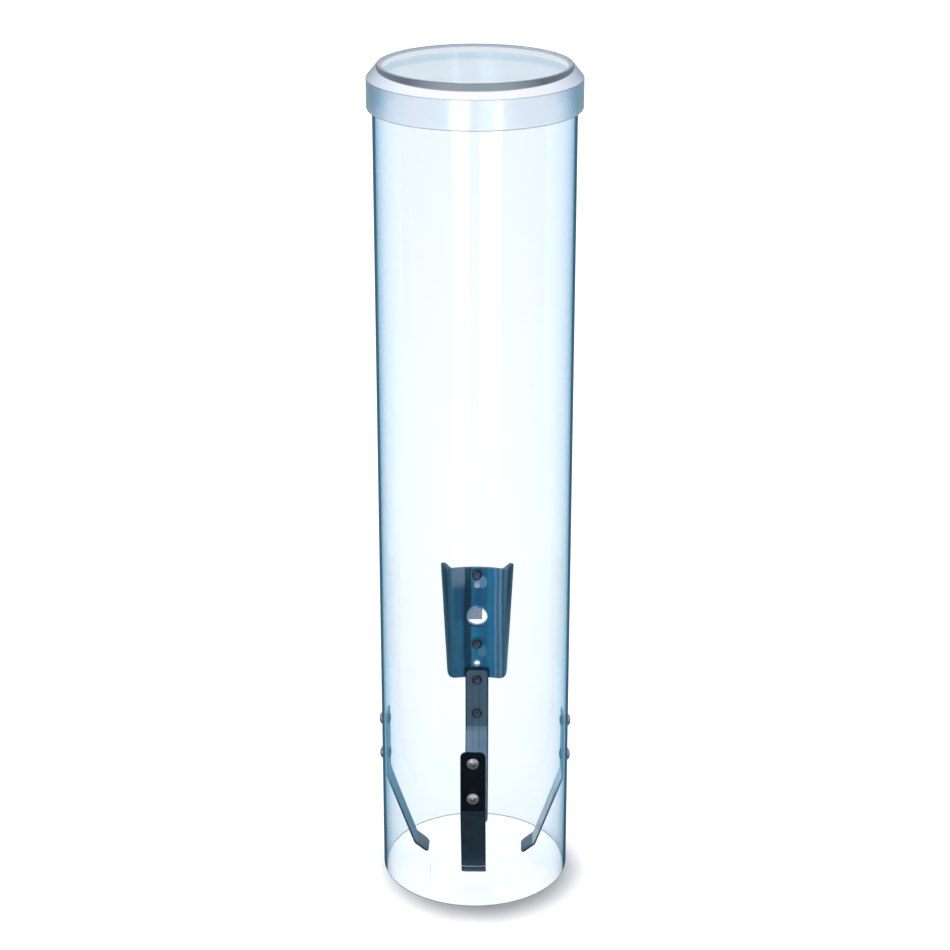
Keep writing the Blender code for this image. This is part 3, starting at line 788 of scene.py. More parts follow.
def arc_between(corner, arriving, leaving, rounding):
    """Stations round a corner between two directions in the XZ plane: (point, heading, inset) rows."""
    start_angle = heading_of(arriving)
    bend = heading_of(leaving) - start_angle
    setback = rounding * abs(math.tan(bend / 2))
    sense = math.copysign(1.0, bend)
    across = Vector((-arriving.z, 0.0, arriving.x)) * sense
    centre = corner - arriving * setback + across * rounding
    stations = []
    for step in range(CORNER_STEPS + 1):
        angle = start_angle + bend * step / CORNER_STEPS
        outward = Vector((math.sin(angle), 0.0, -math.cos(angle))) * sense
        stations.append((centre + outward * rounding, angle, 0.0))
    return stations


def finger_stations(finger):
    """Stations down a strip's middle, as (point, heading, inset) rows: riveted part, tongue and hook."""
    middle = (BASE_LOW.x + BASE_HIGH.x) / 2
    top = Vector((middle, 0.0, BASE_HIGH.z))
    bend = Vector((middle, 0.0, HINGE.z))
    hook = Vector((finger.hook_radius, 0.0, finger.hook_height))
    tip = Vector((finger.tip_radius, 0.0, finger.tip_height))
    down, slant, lean = (bend - top).normalized(), (hook - bend).normalized(), (tip - hook).normalized()
    down_angle, slant_angle, lean_angle = heading_of(down), heading_of(slant), heading_of(lean)
    straight = (bend - down * finger.flex, bend - down * finger.bend_rounding)
    slanted = (bend + slant * finger.bend_rounding, bend + slant * finger.flex)
    shares = [step / FLEX_STEPS for step in range(FLEX_STEPS + 1)]
    stations = [(top + down * along, down_angle, inset) for along, inset in corner_steps(finger.top_corner)]
    stations += [(straight[0].lerp(straight[1], share), down_angle, 0.0) for share in shares[:-1]]
    stations += arc_between(bend, down, slant, finger.bend_rounding)
    stations += [(slanted[0].lerp(slanted[1], share), slant_angle, 0.0) for share in shares[1:]]
    stations += arc_between(hook, slant, lean, finger.hook_rounding)
    corner = reversed(corner_steps(finger.tip_corner))
    return stations + [(tip - lean * along, lean_angle, inset) for along, inset in corner]


def finger_rows(finger, angle):
    """Rows of (point, normal) down a whole strip on one side of the tube."""
    spin = Matrix.Rotation(angle, 3, "Z")
    sides = [2 * column / STRIP_COLUMNS - 1 for column in range(STRIP_COLUMNS + 1)]
    rows = []
    for point, heading, inset in finger_stations(finger):
        normal = spin @ Vector((-math.sin(heading), 0.0, math.cos(heading)))
        half = finger.width / 2 - inset
        rows.append([(spin @ (point + Vector((0.0, side * half, 0.0))) + AXIS, normal) for side in sides])
    return rows


def rivet_outline(rivet, grip):
    """Closed outline of a set blind rivet: domed head above zero, tail a grip below zero, bored through."""
    head_base = RIVET_SEAT
    head_top = head_base + rivet.head_height
    tail_top = -grip - RIVET_SEAT
    tail_bottom = tail_top - rivet.tail_height
    dome_rise = rivet.head_height - rivet.head_rim
    soft = rivet.head_rim / 2
    points = [
        (rivet.bore, tail_bottom, soft),
        (rivet.tail, tail_bottom, rivet.tail_height / 2),
        (rivet.tail, tail_top, soft),
        (rivet.shank, tail_top, 0.0),
        (rivet.shank, head_base, 0.0),
        (rivet.head, head_base, 0.0),
        (rivet.head, head_base + rivet.head_rim, 0.0),
    ]
    for step in range(1, DOME_STEPS + 1):
        reach_share = 1 - step / DOME_STEPS
        radius = rivet.bore + (rivet.head - rivet.bore) * reach_share
        points.append((radius, head_top - dome_rise * reach_share**2, 0.0))
    return points


def pin_outline(rivet, grip):
    """Open outline of the pin left in a rivet, from its tail end to its broken top."""
    top = RIVET_SEAT + rivet.head_height - rivet.pin_recess
    bottom = -grip - RIVET_SEAT - rivet.tail_height - rivet.pin_reach
    return [
        (0.0, bottom, 0.0),
        (rivet.pin - rivet.pin_point, bottom, 0.0),
        (rivet.pin, bottom + rivet.pin_point, rivet.pin_point / 2),
        (rivet.pin, top - rivet.pin_point / 2, rivet.pin_point / 2),
        (rivet.pin * PIN_NECK, top, 0.0),
        (0.0, top, 0.0),
    ]


# Shader groups

# Where the noise makes a drawn line full, and between which noise a cloud comes up
LINE_FULL = 0.75
CLOUD_NOISE = (0.3, 0.7)


def shader_group(name, sizes, outputs=("Mask",)):
    """An empty shader group with a vector and named sizes coming in: (tree, what comes in)."""
    tree = bpy.data.node_groups.new(name, "ShaderNodeTree")
    rows = [(size, "NodeSocketFloat", default) for size, default in sizes.items()]
    add_sockets(tree, "INPUT", [("Vector", "NodeSocketVector", None)] + rows)
    add_sockets(tree, "OUTPUT", [(output, "NodeSocketFloat", None) for output in outputs])
    return tree, add_node(tree, "NodeGroupInput").outputs


def draw_lines():
    """Fine lines along a drawn or moulded length: a mask of the lines and a height for bump."""
    sizes = {"Fineness": 900.0, "Stretch": 0.01, "Threshold": 0.5}
    tree, given = shader_group("draw_lines", sizes, ("Mask", "Height"))
    drawn = vector_node(tree, "MULTIPLY", given["Vector"], vector_of(tree, 1.0, 1.0, given["Stretch"]))
    grain = {"Vector": drawn, "Scale": given["Fineness"], "Detail": 3.0, "Roughness": 0.6}
    noise = feed(tree, "ShaderNodeTexNoise", grain)
    mask = map_value(tree, noise, given["Threshold"], LINE_FULL, smooth=True)
    add_node(tree, "NodeGroupOutput", {"Mask": mask, "Height": noise})
    return tree


def mottle():
    """Slow cloudy changes over a surface, from zero to one."""
    tree, given = shader_group("mottle", {"Scale": 40.0})
    cloud = {"Vector": given["Vector"], "Scale": given["Scale"], "Detail": 4.0, "Roughness": 0.55}
    noise = feed(tree, "ShaderNodeTexNoise", cloud)
    add_node(tree, "NodeGroupOutput", {"Mask": map_value(tree, noise, *CLOUD_NOISE, smooth=True)})
    return tree


def specks():
    """Small separate specks and pits, from zero to one."""
    tree, given = shader_group("specks", {"Scale": 500.0, "Size": 0.2})
    cells = feed(tree, "ShaderNodeTexVoronoi", {"Vector": given["Vector"], "Scale": given["Scale"]})
    add_node(tree, "NodeGroupOutput", {"Mask": map_value(tree, cells, given["Size"], 0.0)})
    return tree


def place_group(tree, build, **inputs):
    """Puts a shader group in a material, with its inputs given by name. Returns what comes out."""
    values = {name.title(): value for name, value in inputs.items()}
    return add_node(tree, "ShaderNodeGroup", values, node_tree=shared_tree(build)).outputs


# Materials

WHITE = (1.0, 1.0, 1.0)
BLACK = (0.0, 0.0, 0.0)
PLASTIC_IOR = 1.49
STRIP_IOR = 1.46
FILM_IOR = 1.12


def new_material(name):
    """An empty node material: (material, tree, Principled shader, output)."""
    material = bpy.data.materials.new(name)
    material.use_nodes = True
    tree = material.node_tree
    return material, tree, tree.nodes["Principled BSDF"], tree.nodes["Material Output"]


def shared_material(build):
    """A material, named as the function that builds it, built the first time it is asked for."""
    return bpy.data.materials.get(build.__name__) or build(bpy.context.scene.dispenser)


def object_place(tree):
    """Object coordinates."""
    return add_node(tree, "ShaderNodeTexCoord").outputs["Object"]


def place_from_axis(tree):
    """Object coordinates measured from the tube's axis."""
    return feed(tree, "ShaderNodeMapping", {"Vector": object_place(tree), "Location": -AXIS})


def axis_coordinates(tree):
    """Object coordinates measured from the tube's axis: (vector, x, y, z, distance from the axis)."""
    place = place_from_axis(tree)
    distance = length_node(tree, vector_node(tree, "MULTIPLY", place, LEVEL_PART))
    return place, *parts_of(tree, place), distance


def facing_share(tree):
    """How edge on the surface is seen, from zero to one."""
    return add_node(tree, "ShaderNodeLayerWeight", {"Blend": 0.5}).outputs["Facing"]


def colour_ramp(tree, value, stops):
    """A colour by a value, from (value, colour) stops."""
    ramp = add_node(tree, "ShaderNodeValToRGB", {0: value})
    elements = ramp.color_ramp.elements
    for element, (position, tint) in zip(elements, (stops[0], stops[-1])):
        element.position = position
        element.color = (*tint, 1.0)
    for position, tint in stops[1:-1]:
        elements.new(position).color = (*tint, 1.0)
    return ramp.outputs[0]


def bump(tree, height, strength, distance):
    """A normal that follows a height."""
    return feed(tree, "ShaderNodeBump", {"Height": height, "Strength": strength, "Distance": distance})


def let_light_through(tree, shader, output, tint, cover=None):
    """Shows plastic to the eye, and lets shadow and diffuse rays pass tinted.

    Cover is (mask, colour) of painted light and shade that only camera rays see over the plastic.
    """
    path = add_node(tree, "ShaderNodeLightPath").outputs
    surface = shader.outputs[0]
    if cover is not None:
        mask, painted_colour = cover
        seen = times(tree, mask, path["Is Camera Ray"])
        # The painted light and shade: a matte layer that camera rays see instead of the plastic
        finish = {"Base Color": painted_colour, "Roughness": 0.5, "Specular IOR Level": 0.3}
        dull = feed(tree, "ShaderNodeBsdfPrincipled", finish)
        surface = feed(tree, "ShaderNodeMixShader", {0: seen, 1: surface, 2: dull})
    passes = most(tree, path["Is Shadow Ray"], path["Is Diffuse Ray"])
    clear = feed(tree, "ShaderNodeBsdfTransparent", {"Color": (*tint, 1.0)})
    both = feed(tree, "ShaderNodeMixShader", {0: passes, 1: surface, 2: clear})
    set_inputs(tree, output, {"Surface": both})


def add_absorption(tree, output, tint, density):
    """Fills a piece with plastic that takes up light."""
    inside = feed(tree, "ShaderNodeVolumeAbsorption", {"Color": (*tint, 1.0), "Density": density})
    set_inputs(tree, output, {"Volume": inside})


# How far past a hole's radius its wall is still taken as its wall
HOLE_MARGIN = 0.00008


def hole_walls(tree, tube, across, height):
    """One on the walls of the holes in the back that take no rivet."""
    walls = []
    for level, radius in mounting_holes(tube):
        reach = length_node(tree, vector_of(tree, x=across, z=math_node(tree, "SUBTRACT", height, level)))
        walls.append(math_node(tree, "LESS_THAN", reach, radius + HOLE_MARGIN))
    return most(tree, 0.0, *walls)


# How edge on the tube's wall is seen where its dark rim starts, at its foot and at its top, and how much
# further the rim is fully dark. The rim stands for light that does not cross the bore
WALL_RIM_FOOT = 0.782
WALL_RIM_TOP = 0.750
WALL_RIM_REACH = 0.04
# Height of the line along the tube's foot, how much of it shows, and where the tube starts to turn bluer
FOOT_LINE = 0.0005
FOOT_SHARE = 0.7
BLUER_FROM = 0.15


def tube_plastic(settings):
    """The tube's clear plastic: fine draw lines up its length, faint clouds, and a dark blue rim."""
    material, tree, shader, output = new_material("tube_plastic")
    place, x, y, height, _ = axis_coordinates(tree)
    tube = settings.tube
    lines = place_group(tree, draw_lines, vector=place, fineness=420.0, stretch=0.004)
    clouds = place_group(tree, mottle, vector=place, scale=24.0)["Mask"]
    high_up = map_value(tree, height, BLUER_FROM, TUBE_HIGH.z, smooth=True)
    body = mix_colour(tree, high_up, mix_colour(tree, clouds, WHITE, tube.clouded), tube.top_tint)
    rough = math_node(tree, "ADD", lines["Mask"], clouds)
    finish = {
        "Base Color": body,
        "Roughness": map_value(tree, rough, 0.0, 2.0, 0.0, 0.05),
        "Normal": bump(tree, lines["Height"], strength=0.05, distance=0.00002),
        "Transmission Weight": 1.0,
        "IOR": PLASTIC_IOR,
    }
    set_inputs(tree, shader, finish)
    rim_start = map_value(tree, height, 0.0, TUBE_HIGH.z, WALL_RIM_FOOT, WALL_RIM_TOP)
    past_start = math_node(tree, "SUBTRACT", facing_share(tree), rim_start)
    rim = map_value(tree, past_start, 0.0, WALL_RIM_REACH, smooth=True)
    at_back = math_node(tree, "GREATER_THAN", y, 0.0)
    holes = times(tree, hole_walls(tree, tube, x, height), at_back)
    foot = map_value(tree, height, FOOT_LINE, FOOT_LINE * 2, FOOT_SHARE, 0.0)
    seen = mix_colour(tree, foot, mix_colour(tree, holes, tube.rim, tube.hole_wall), tube.foot)
    let_light_through(tree, shader, output, tube.passed, (most(tree, rim, holes, foot), seen))
    add_absorption(tree, output, tube.tint, tube.density)
    return material


# The cap's colours by how edge on it is seen, as (facing, colour) stops: its body, darker edge on as
# painted shade, the painted light and the painted shade of its slope, and the lines along its skirt
CAP_BODY = (
    (0.00, (0.91, 0.95, 0.98)),
    (0.30, (1.00, 1.00, 1.00)),
    (0.60, (0.80, 0.90, 1.00)),
    (0.90, (0.42, 0.48, 0.56)),
)
SLOPE_LIGHT = (
    (0.14, (1.00, 1.00, 1.00)),
    (0.34, (0.86, 0.91, 1.00)),
    (0.63, (0.52, 0.60, 0.72)),
    (0.87, (0.26, 0.32, 0.41)),
)
SLOPE_SHADE = ((0.14, (0.27, 0.335, 0.40)), (0.30, (0.10, 0.135, 0.175)), (0.63, (0.11, 0.15, 0.20)))
CAP_LINE_TINT = ((0.02, (0.55, 0.66, 0.77)), (0.28, (0.27, 0.37, 0.49)), (0.70, (0.20, 0.26, 0.34)))

# How much of the slope takes its painted shade where it is seen face on, between which cosines that
# share grows, and by which power
SLOPE_SHARE = 0.47
SLOPE_EDGE_ON = 0.135
SLOPE_FACE_ON = 0.86
SLOPE_BEND = 0.6
# The soft step from the slope's painted light to its painted shade, as shares of its rise
SLOPE_STEP = (-0.05, 0.04)

# Room taken for the cap's rounded edges, and half the width of the lines along its skirt
CAP_EDGE = 0.0002
CAP_LINE = 0.00015

# Between which facings the painted shade on the cap's edges comes up, and between which shares of its rise
# the ring's inner wall turns from painted light to painted shade
EDGE_FACING = (0.55, 0.90)
RING_WALL_STEP = (0.6, 0.75)
# How much shows of each layer that camera rays see on the cap: the painted shade on its edges, the painted
# light and shade of the ring's inner wall, the disc and the lines along its skirt, and how much of that the
# line at the skirt's foot has
EDGE_SHARE = 0.7
RING_WALL_SHARE = 0.95
DISC_SHARE = 0.55
LINE_SHARE = 0.9
SKIRT_FOOT_SHARE = 0.8
# How dense the cap's plastic is, as a share of the tube's
CAP_DENSITY = 0.25


def slope_colour(tree, facing, up):
    """The slope's painted light and shade: a dark strip under the ring's edge, thinner to the sides, pale
    under it.
    """
    turned = math_node(tree, "SUBTRACT", 1.0, facing)
    share = map_value(tree, turned, SLOPE_EDGE_ON, SLOPE_FACE_ON)
    share = times(tree, math_node(tree, "POWER", share, SLOPE_BEND), SLOPE_SHARE)
    over = math_node(tree, "SUBTRACT", up, math_node(tree, "SUBTRACT", 1.0, share))
    pale, dark = colour_ramp(tree, facing, SLOPE_LIGHT), colour_ramp(tree, facing, SLOPE_SHADE)
    return mix_colour(tree, map_value(tree, over, *SLOPE_STEP, smooth=True), pale, dark)


def cap_cover(tree, cap, facing, height, distance):
    """The painted light and shade, and the other layers, that camera rays see on the cap: (mask, colour).
    """
    disc_top = CAP_HIGH.z - cap.ring_rise
    shoulder = disc_top - cap.drop
    ring_inner = cap.ring_radius - cap.ring_wall
    on_skirt = math_node(tree, "GREATER_THAN", distance, ring_inner)
    past_ring = math_node(tree, "GREATER_THAN", distance, cap.ring_radius - CAP_EDGE)
    over_skirt = math_node(tree, "GREATER_THAN", height, shoulder + CAP_EDGE)
    slope = times(tree, past_ring, over_skirt)
    in_ring = math_node(tree, "LESS_THAN", distance, ring_inner + CAP_EDGE)
    over_disc = math_node(tree, "GREATER_THAN", height, disc_top + CAP_EDGE / 2)
    wall = times(tree, in_ring, over_disc)
    wall_up = map_value(tree, height, disc_top, CAP_HIGH.z)
    wall_top = map_value(tree, wall_up, *RING_WALL_STEP, smooth=True)
    disc = between(tree, height, disc_top - CAP_EDGE, disc_top + CAP_EDGE / 2, CAP_EDGE / 4)
    disc = times(tree, disc, in_ring)
    skirt_top = between(tree, height, shoulder - CAP_LINE, shoulder + CAP_LINE, CAP_LINE)
    foot_low = CAP_LOW.z + CAP_LINE * 2
    foot = map_value(tree, height, foot_low, foot_low + CAP_LINE * 2, SKIRT_FOOT_SHARE, 0.0)
    outside = math_node(tree, "GREATER_THAN", distance, CAP_HIGH.x - cap.wall / 2)
    line = times(tree, most(tree, skirt_top, foot), outside)
    up = map_value(tree, height, shoulder, CAP_HIGH.z)
    # Painted shade on the parts that are seen edge on
    seen = cap.edge_tint
    mask = times(tree, map_value(tree, facing, *EDGE_FACING, 0.0, EDGE_SHARE, smooth=True), on_skirt)
    # Painted light and shade on the slope and the ring's inner wall, then the disc's pale blue and the
    # skirt's lines
    for place, tint, shown in (
        (slope, slope_colour(tree, facing, up), slope),
        (wall, mix_colour(tree, wall_top, WHITE, cap.ring_wall_tint), times(tree, wall, RING_WALL_SHARE)),
        (disc, cap.disc_cover, times(tree, disc, DISC_SHARE)),
        (line, colour_ramp(tree, facing, CAP_LINE_TINT), times(tree, line, LINE_SHARE)),
    ):
        seen = mix_colour(tree, place, seen, tint)
        mask = most(tree, mask, shown)
    return mask, seen


def cap_plastic(settings):
    """The cap's moulded plastic: a clear disc, a hazy skirt, and a slope with a painted shade strip at its
    top.
    """
    material, tree, shader, output = new_material("cap_plastic")
    place, _, _, height, distance = axis_coordinates(tree)
    cap, tube = settings.cap, settings.tube
    facing = facing_share(tree)
    ring_inner = cap.ring_radius - cap.ring_wall
    clouds = place_group(tree, mottle, vector=place, scale=30.0)["Mask"]
    grit = place_group(tree, specks, vector=place, scale=300.0, size=0.10)["Mask"]
    outside = map_value(tree, distance, ring_inner, cap.ring_radius, smooth=True)
    on_skirt = math_node(tree, "GREATER_THAN", distance, ring_inner)
    clear, haze = spread(tree, clouds, 0.03, 0.05), spread(tree, clouds, 0.20, 0.25)
    finish = {
        "Base Color": mix_colour(tree, on_skirt, cap.disc_tint, colour_ramp(tree, facing, CAP_BODY)),
        "Roughness": mix_value(tree, outside, clear, haze),
        "Normal": bump(tree, grit, strength=0.03, distance=0.00002),
        "Transmission Weight": 1.0,
        "IOR": PLASTIC_IOR,
    }
    set_inputs(tree, shader, finish)
    let_light_through(tree, shader, output, cap.passed, cap_cover(tree, cap, facing, height, distance))
    add_absorption(tree, output, tube.tint, tube.density * CAP_DENSITY)
    return material


# Streaks across the bracket: (distance from its middle, colour)
BRACKET_STREAKS = (
    (-0.0180, (0.015, 0.069, 0.106)),
    (-0.0155, (0.037, 0.127, 0.168)),
    (-0.0135, (0.046, 0.172, 0.246)),
    (-0.0085, (0.039, 0.196, 0.314)),
    (-0.0072, (0.027, 0.138, 0.224)),
    (-0.0062, (0.010, 0.063, 0.101)),
    (-0.0035, (0.012, 0.075, 0.123)),
    (-0.0026, (0.098, 0.253, 0.347)),
    (-0.0018, (0.036, 0.275, 0.460)),
    (0.0045, (0.023, 0.158, 0.262)),
    (0.0062, (0.037, 0.247, 0.426)),
    (0.0088, (0.039, 0.230, 0.392)),
    (0.0098, (0.207, 0.380, 0.515)),
    (0.0108, (0.034, 0.178, 0.291)),
    (0.0124, (0.244, 0.391, 0.504)),
    (0.0134, (0.041, 0.149, 0.230)),
    (0.0150, (0.134, 0.265, 0.347)),
    (0.0170, (0.029, 0.092, 0.129)),
)
# How far the streaks waver to each side, and how strong the fine lines over them are
STREAK_WAVER = 0.0003
FINE_LINES = 0.35

# The pale mark beside each rivet of the bracket: how strong it is, its place from the rivet, half its size
MARK_STRENGTHS = {"upper": 0.9, "lower": 0.4}
MARK_ASIDE = 0.0027
MARK_DROP = 0.0045
MARK_HALF_SIZE = (0.0026, 1.0, 0.0034)
# Between which shares of its half size a mark fades out
MARK_EDGE = (0.85, 1.1)

# The painted reflection of a lamp on the bracket's upper left: its sides and their softness, where it
# rises, and how strong it is
SHEEN_SIDES = (-0.0140, -0.0062, 0.0003)
SHEEN_RISE = (0.1285, 0.1330)
SHEEN_STRENGTH = 0.9

# The back strip's shade on the bracket: how far past the strip's sides, how soft, and how far over its top
SHADE_PAST = 0.0006
SHADE_SOFT = 0.0005
SHADE_OVER = (0.0004, 0.0018)


def bracket_streaks(tree, across):
    """The colour of the bracket's streaks at a distance from its middle."""
    low, high = BRACKET_STREAKS[0][0], BRACKET_STREAKS[-1][0]
    stops = [((place - low) / (high - low), tint) for place, tint in BRACKET_STREAKS]
    return colour_ramp(tree, map_value(tree, across, low, high), stops)


def pressed_marks(tree, x, height):
    """How strong the pale round marks are, below and to the right of each of the sheet's rivets."""
    marks = []
    point = vector_of(tree, x=x, z=height)
    for level, strength in MARK_STRENGTHS.items():
        middle = (MARK_ASIDE, 0.0, RIVET_HEIGHTS["bracket"][level] - MARK_DROP)
        offset = vector_node(tree, "SUBTRACT", point, middle)
        reach = length_node(tree, vector_node(tree, "DIVIDE", offset, MARK_HALF_SIZE))
        marks.append(map_value(tree, reach, *MARK_EDGE, strength, 0.0, smooth=True))
    return most(tree, 0.0, *marks)


def bracket_plastic(settings):
    """The bracket's deep blue plastic: long streaks, fine draw lines, and a painted reflection on its side
    to the tube.
    """
    material, tree, shader, output = new_material("bracket_plastic")
    place, x, _, height, distance = axis_coordinates(tree)
    bracket, tube = settings.bracket, settings.tube
    lines = place_group(tree, draw_lines, vector=place, fineness=900.0, stretch=0.004)
    clouds = place_group(tree, mottle, vector=place, scale=60.0)["Mask"]
    across = math_node(tree, "ADD", x, spread(tree, clouds, -STREAK_WAVER, STREAK_WAVER))
    on_tube = math_node(tree, "LESS_THAN", distance, tube.radius + SEAT_GAP * 2)
    # The painted reflection of a lamp, on the side towards the tube
    sheen_side = between(tree, x, *SHEEN_SIDES)
    sheen_rise = map_value(tree, height, *SHEEN_RISE, 0.0, SHEEN_STRENGTH, smooth=True)
    shade_reach = settings.finger.width / 2 + SHADE_PAST
    shade_side = between(tree, x, -shade_reach, shade_reach, SHADE_SOFT)
    shade_low, shade_high = (BASE_HIGH.z + over for over in SHADE_OVER)
    shade_top = map_value(tree, height, shade_low, shade_high, 1.0, 0.0, smooth=True)
    body = bracket_streaks(tree, across)
    for mask, tint in (
        (times(tree, lines["Mask"], FINE_LINES), bracket.tint),
        (times(tree, sheen_side, sheen_rise, on_tube), bracket.sheen),
        (times(tree, pressed_marks(tree, x, height), on_tube), bracket.pressed),
        (times(tree, shade_side, shade_top, on_tube), bracket.shade),
        (hole_walls(tree, tube, x, height), tube.hole_wall),
    ):
        body = mix_colour(tree, mask, body, tint)
    finish = {
        "Base Color": body,
        "Roughness": spread(tree, clouds, 0.04, 0.12),
        "Normal": bump(tree, lines["Height"], strength=0.06, distance=0.00004),
        "Transmission Weight": 0.45,
        "IOR": PLASTIC_IOR,
    }
    set_inputs(tree, shader, finish)
    let_light_through(tree, shader, output, bracket.passed)
    return material


# A strip has the front one's painted shade from here to the front, and the others' painted light from half
# as far
FRONT_STRIP = -0.036
# Where a strip's side edges start to turn dark and are dark, from its sides, and how dark they are
DARK_EDGE = (0.0009, 0.0004)
DARK_EDGE_SHARE = 0.9
# How much of its grain the front strip shows, next to the others, and how dark the grain is
FRONT_GRAIN = 0.08
GRAIN_DEPTH = 0.5
# The painted highlight on the right slanted length, in cloudy patches: from and to which cloudiness, and
# from and to how much
SLANT_HIGHLIGHT = (0.4, 1.0, 0.0, 0.6)
# How soft a strip's changes of colour are, as a share of its flexing length
STRIP_SOFT = 0.125


def strip_plastic(settings):
    """The fingers' smoky plastic, with a fine grain along each strip, and painted light and shade: the
    front strip darker, the others lighter, and paler where a strip slants as a painted highlight.
    """
    material, tree, shader, output = new_material("strip_plastic")
    place, x, y, height, _ = axis_coordinates(tree)
    finger = settings.finger
    wide_x = math_node(tree, "LESS_THAN", math_node(tree, "ABSOLUTE", x), math_node(tree, "ABSOLUTE", y))
    across = mix_value(tree, wide_x, y, x)
    strip = vector_of(tree, x=across, z=height)
    lines = place_group(tree, draw_lines, vector=strip, fineness=1300.0, stretch=0.003, threshold=0.45)
    clouds = place_group(tree, mottle, vector=place, scale=90.0)["Mask"]
    behind = map_value(tree, y, FRONT_STRIP, FRONT_STRIP / 2, smooth=True)
    soft = finger.flex * STRIP_SOFT
    bend = HINGE.z + finger.flex / 2
    below_bend = map_value(tree, height, bend - soft, bend + soft, 1.0, 0.0, smooth=True)
    over_hook = map_value(tree, height, finger.hook_height - soft, finger.hook_height + soft)
    # Painted highlight on the slanted lengths, palest on the right one in cloudy patches
    to_right = map_value(tree, x, finger.width, finger.hook_radius)
    highlight_patches = map_value(tree, clouds, *SLANT_HIGHLIGHT)
    lighter = mix_colour(tree, highlight_patches, finger.pale_slant_tint, finger.slant_tint)
    slant = mix_colour(tree, to_right, finger.slant_tint, lighter)
    back_lit_smoke = mix_colour(tree, times(tree, below_bend, over_hook), finger.back_tint, slant)
    # The front strip: painted shade over its bend, painted light under it and at its hook
    front_shaded_smoke = mix_colour(tree, below_bend, finger.tint, finger.low_tint)
    front_shaded_smoke = mix_colour(tree, over_hook, finger.hook_tint, front_shaded_smoke)
    lit_and_shaded_smoke = mix_colour(tree, behind, front_shaded_smoke, back_lit_smoke)
    edge_start, edge_end = (finger.width / 2 - inset for inset in DARK_EDGE)
    from_middle = math_node(tree, "ABSOLUTE", across)
    edge = map_value(tree, from_middle, edge_start, edge_end, 0.0, DARK_EDGE_SHARE)
    lit_and_shaded_smoke = mix_colour(tree, times(tree, edge, behind), lit_and_shaded_smoke, finger.low_tint)
    grained = mix_colour(tree, GRAIN_DEPTH, lit_and_shaded_smoke, finger.grain)
    grain = times(tree, lines["Mask"], spread(tree, behind, FRONT_GRAIN, 1.0))
    rough = math_node(tree, "ADD", lines["Mask"], clouds)
    finish = {
        "Base Color": mix_colour(tree, grain, lit_and_shaded_smoke, grained),
        "Roughness": map_value(tree, rough, 0.0, 2.0, 0.10, 0.24),
        "Normal": bump(tree, lines["Height"], strength=0.25, distance=0.00008),
        "Transmission Weight": 0.2,
        "IOR": STRIP_IOR,
    }
    set_inputs(tree, shader, finish)
    let_light_through(tree, shader, output, finger.passed)
    return material


# The lighter ring round a rivet's bore and the painted shade at the rim of its tail: from and to, as shares
# of their radii
RING_SHARES = (1.15, 1.45)
RING_SOFT = 0.0001
TAIL_RIM_SHARES = (0.78, 0.86)
# Where the painted shade on a pin's side starts and is full, as shares of the pin's radius
PIN_SIDE_SHARES = (PIN_NECK, 0.8)
# How dark the dull places of the aluminium, the steel and the foam are, as shares of their colours
DULL_METAL = 0.7
DULL_STEEL = 0.5
DARK_FOAM = 0.62


def stored_reach(tree):
    """How far a point of a fastener is from its axis."""
    return add_node(tree, "ShaderNodeAttribute", attribute_name="reach").outputs["Fac"]


def rivet_aluminium(settings):
    """The rivets' aluminium: tumbled heads with darker pits, and set tails in painted shade with a lighter
    ring.
    """
    material, tree, shader, _ = new_material("rivet_aluminium")
    place, _, _, height, distance = axis_coordinates(tree)
    rivet, tube = settings.rivet, settings.tube
    clouds = place_group(tree, mottle, vector=place, scale=700.0)["Mask"]
    pits = place_group(tree, specks, vector=place, scale=1500.0, size=0.25)["Mask"]
    dull = tuple(channel * DULL_METAL for channel in rivet.metal)
    bore = tube.radius - tube.wall
    outer = map_value(tree, distance, bore, bore + tube.wall)
    heads = mix_colour(tree, clouds, rivet.metal, dull)
    reach = stored_reach(tree)
    ring = between(tree, reach, *(rivet.bore * share for share in RING_SHARES), RING_SOFT)
    rim = map_value(tree, reach, *(rivet.tail * share for share in TAIL_RIM_SHARES))
    # Painted shade on the set tails and their rims, with a lighter ring round the bore
    on_bracket = math_node(tree, "GREATER_THAN", height, BASE_HIGH.z)
    tails = mix_colour(tree, on_bracket, rivet.strip_tail, rivet.set_metal)
    tails = mix_colour(tree, rim, tails, rivet.set_metal)
    tails = mix_colour(tree, ring, tails, rivet.ring)
    rough = math_node(tree, "ADD", clouds, pits)
    finish = {
        "Base Color": mix_colour(tree, outer, tails, heads),
        "Roughness": map_value(tree, rough, 0.0, 2.0, 0.30, 0.5),
        "Normal": bump(tree, rough, strength=0.2, distance=0.00003),
        "Metallic": 0.75,
    }
    set_inputs(tree, shader, finish)
    return material


def broken_steel(settings):
    """The pins' darker steel, rough where each pin broke off, with painted shade on their sides inside the
    tube.
    """
    material, tree, shader, _ = new_material("broken_steel")
    rivet = settings.rivet
    clouds = place_group(tree, mottle, vector=object_place(tree), scale=1400.0)["Mask"]
    dull = tuple(channel * DULL_STEEL for channel in rivet.steel)
    bright = mix_colour(tree, clouds, rivet.steel, dull)
    inside = math_node(tree, "LESS_THAN", axis_coordinates(tree)[-1], settings.tube.radius)
    # Painted shade on the pin's side inside the tube
    side = map_value(tree, stored_reach(tree), *(rivet.pin * share for share in PIN_SIDE_SHARES))
    finish = {
        "Base Color": mix_colour(tree, times(tree, side, inside), bright, rivet.set_metal),
        "Roughness": spread(tree, clouds, 0.3, 0.6),
        "Normal": bump(tree, clouds, strength=0.3, distance=0.00005),
        "Metallic": 1.0,
    }
    set_inputs(tree, shader, finish)
    return material


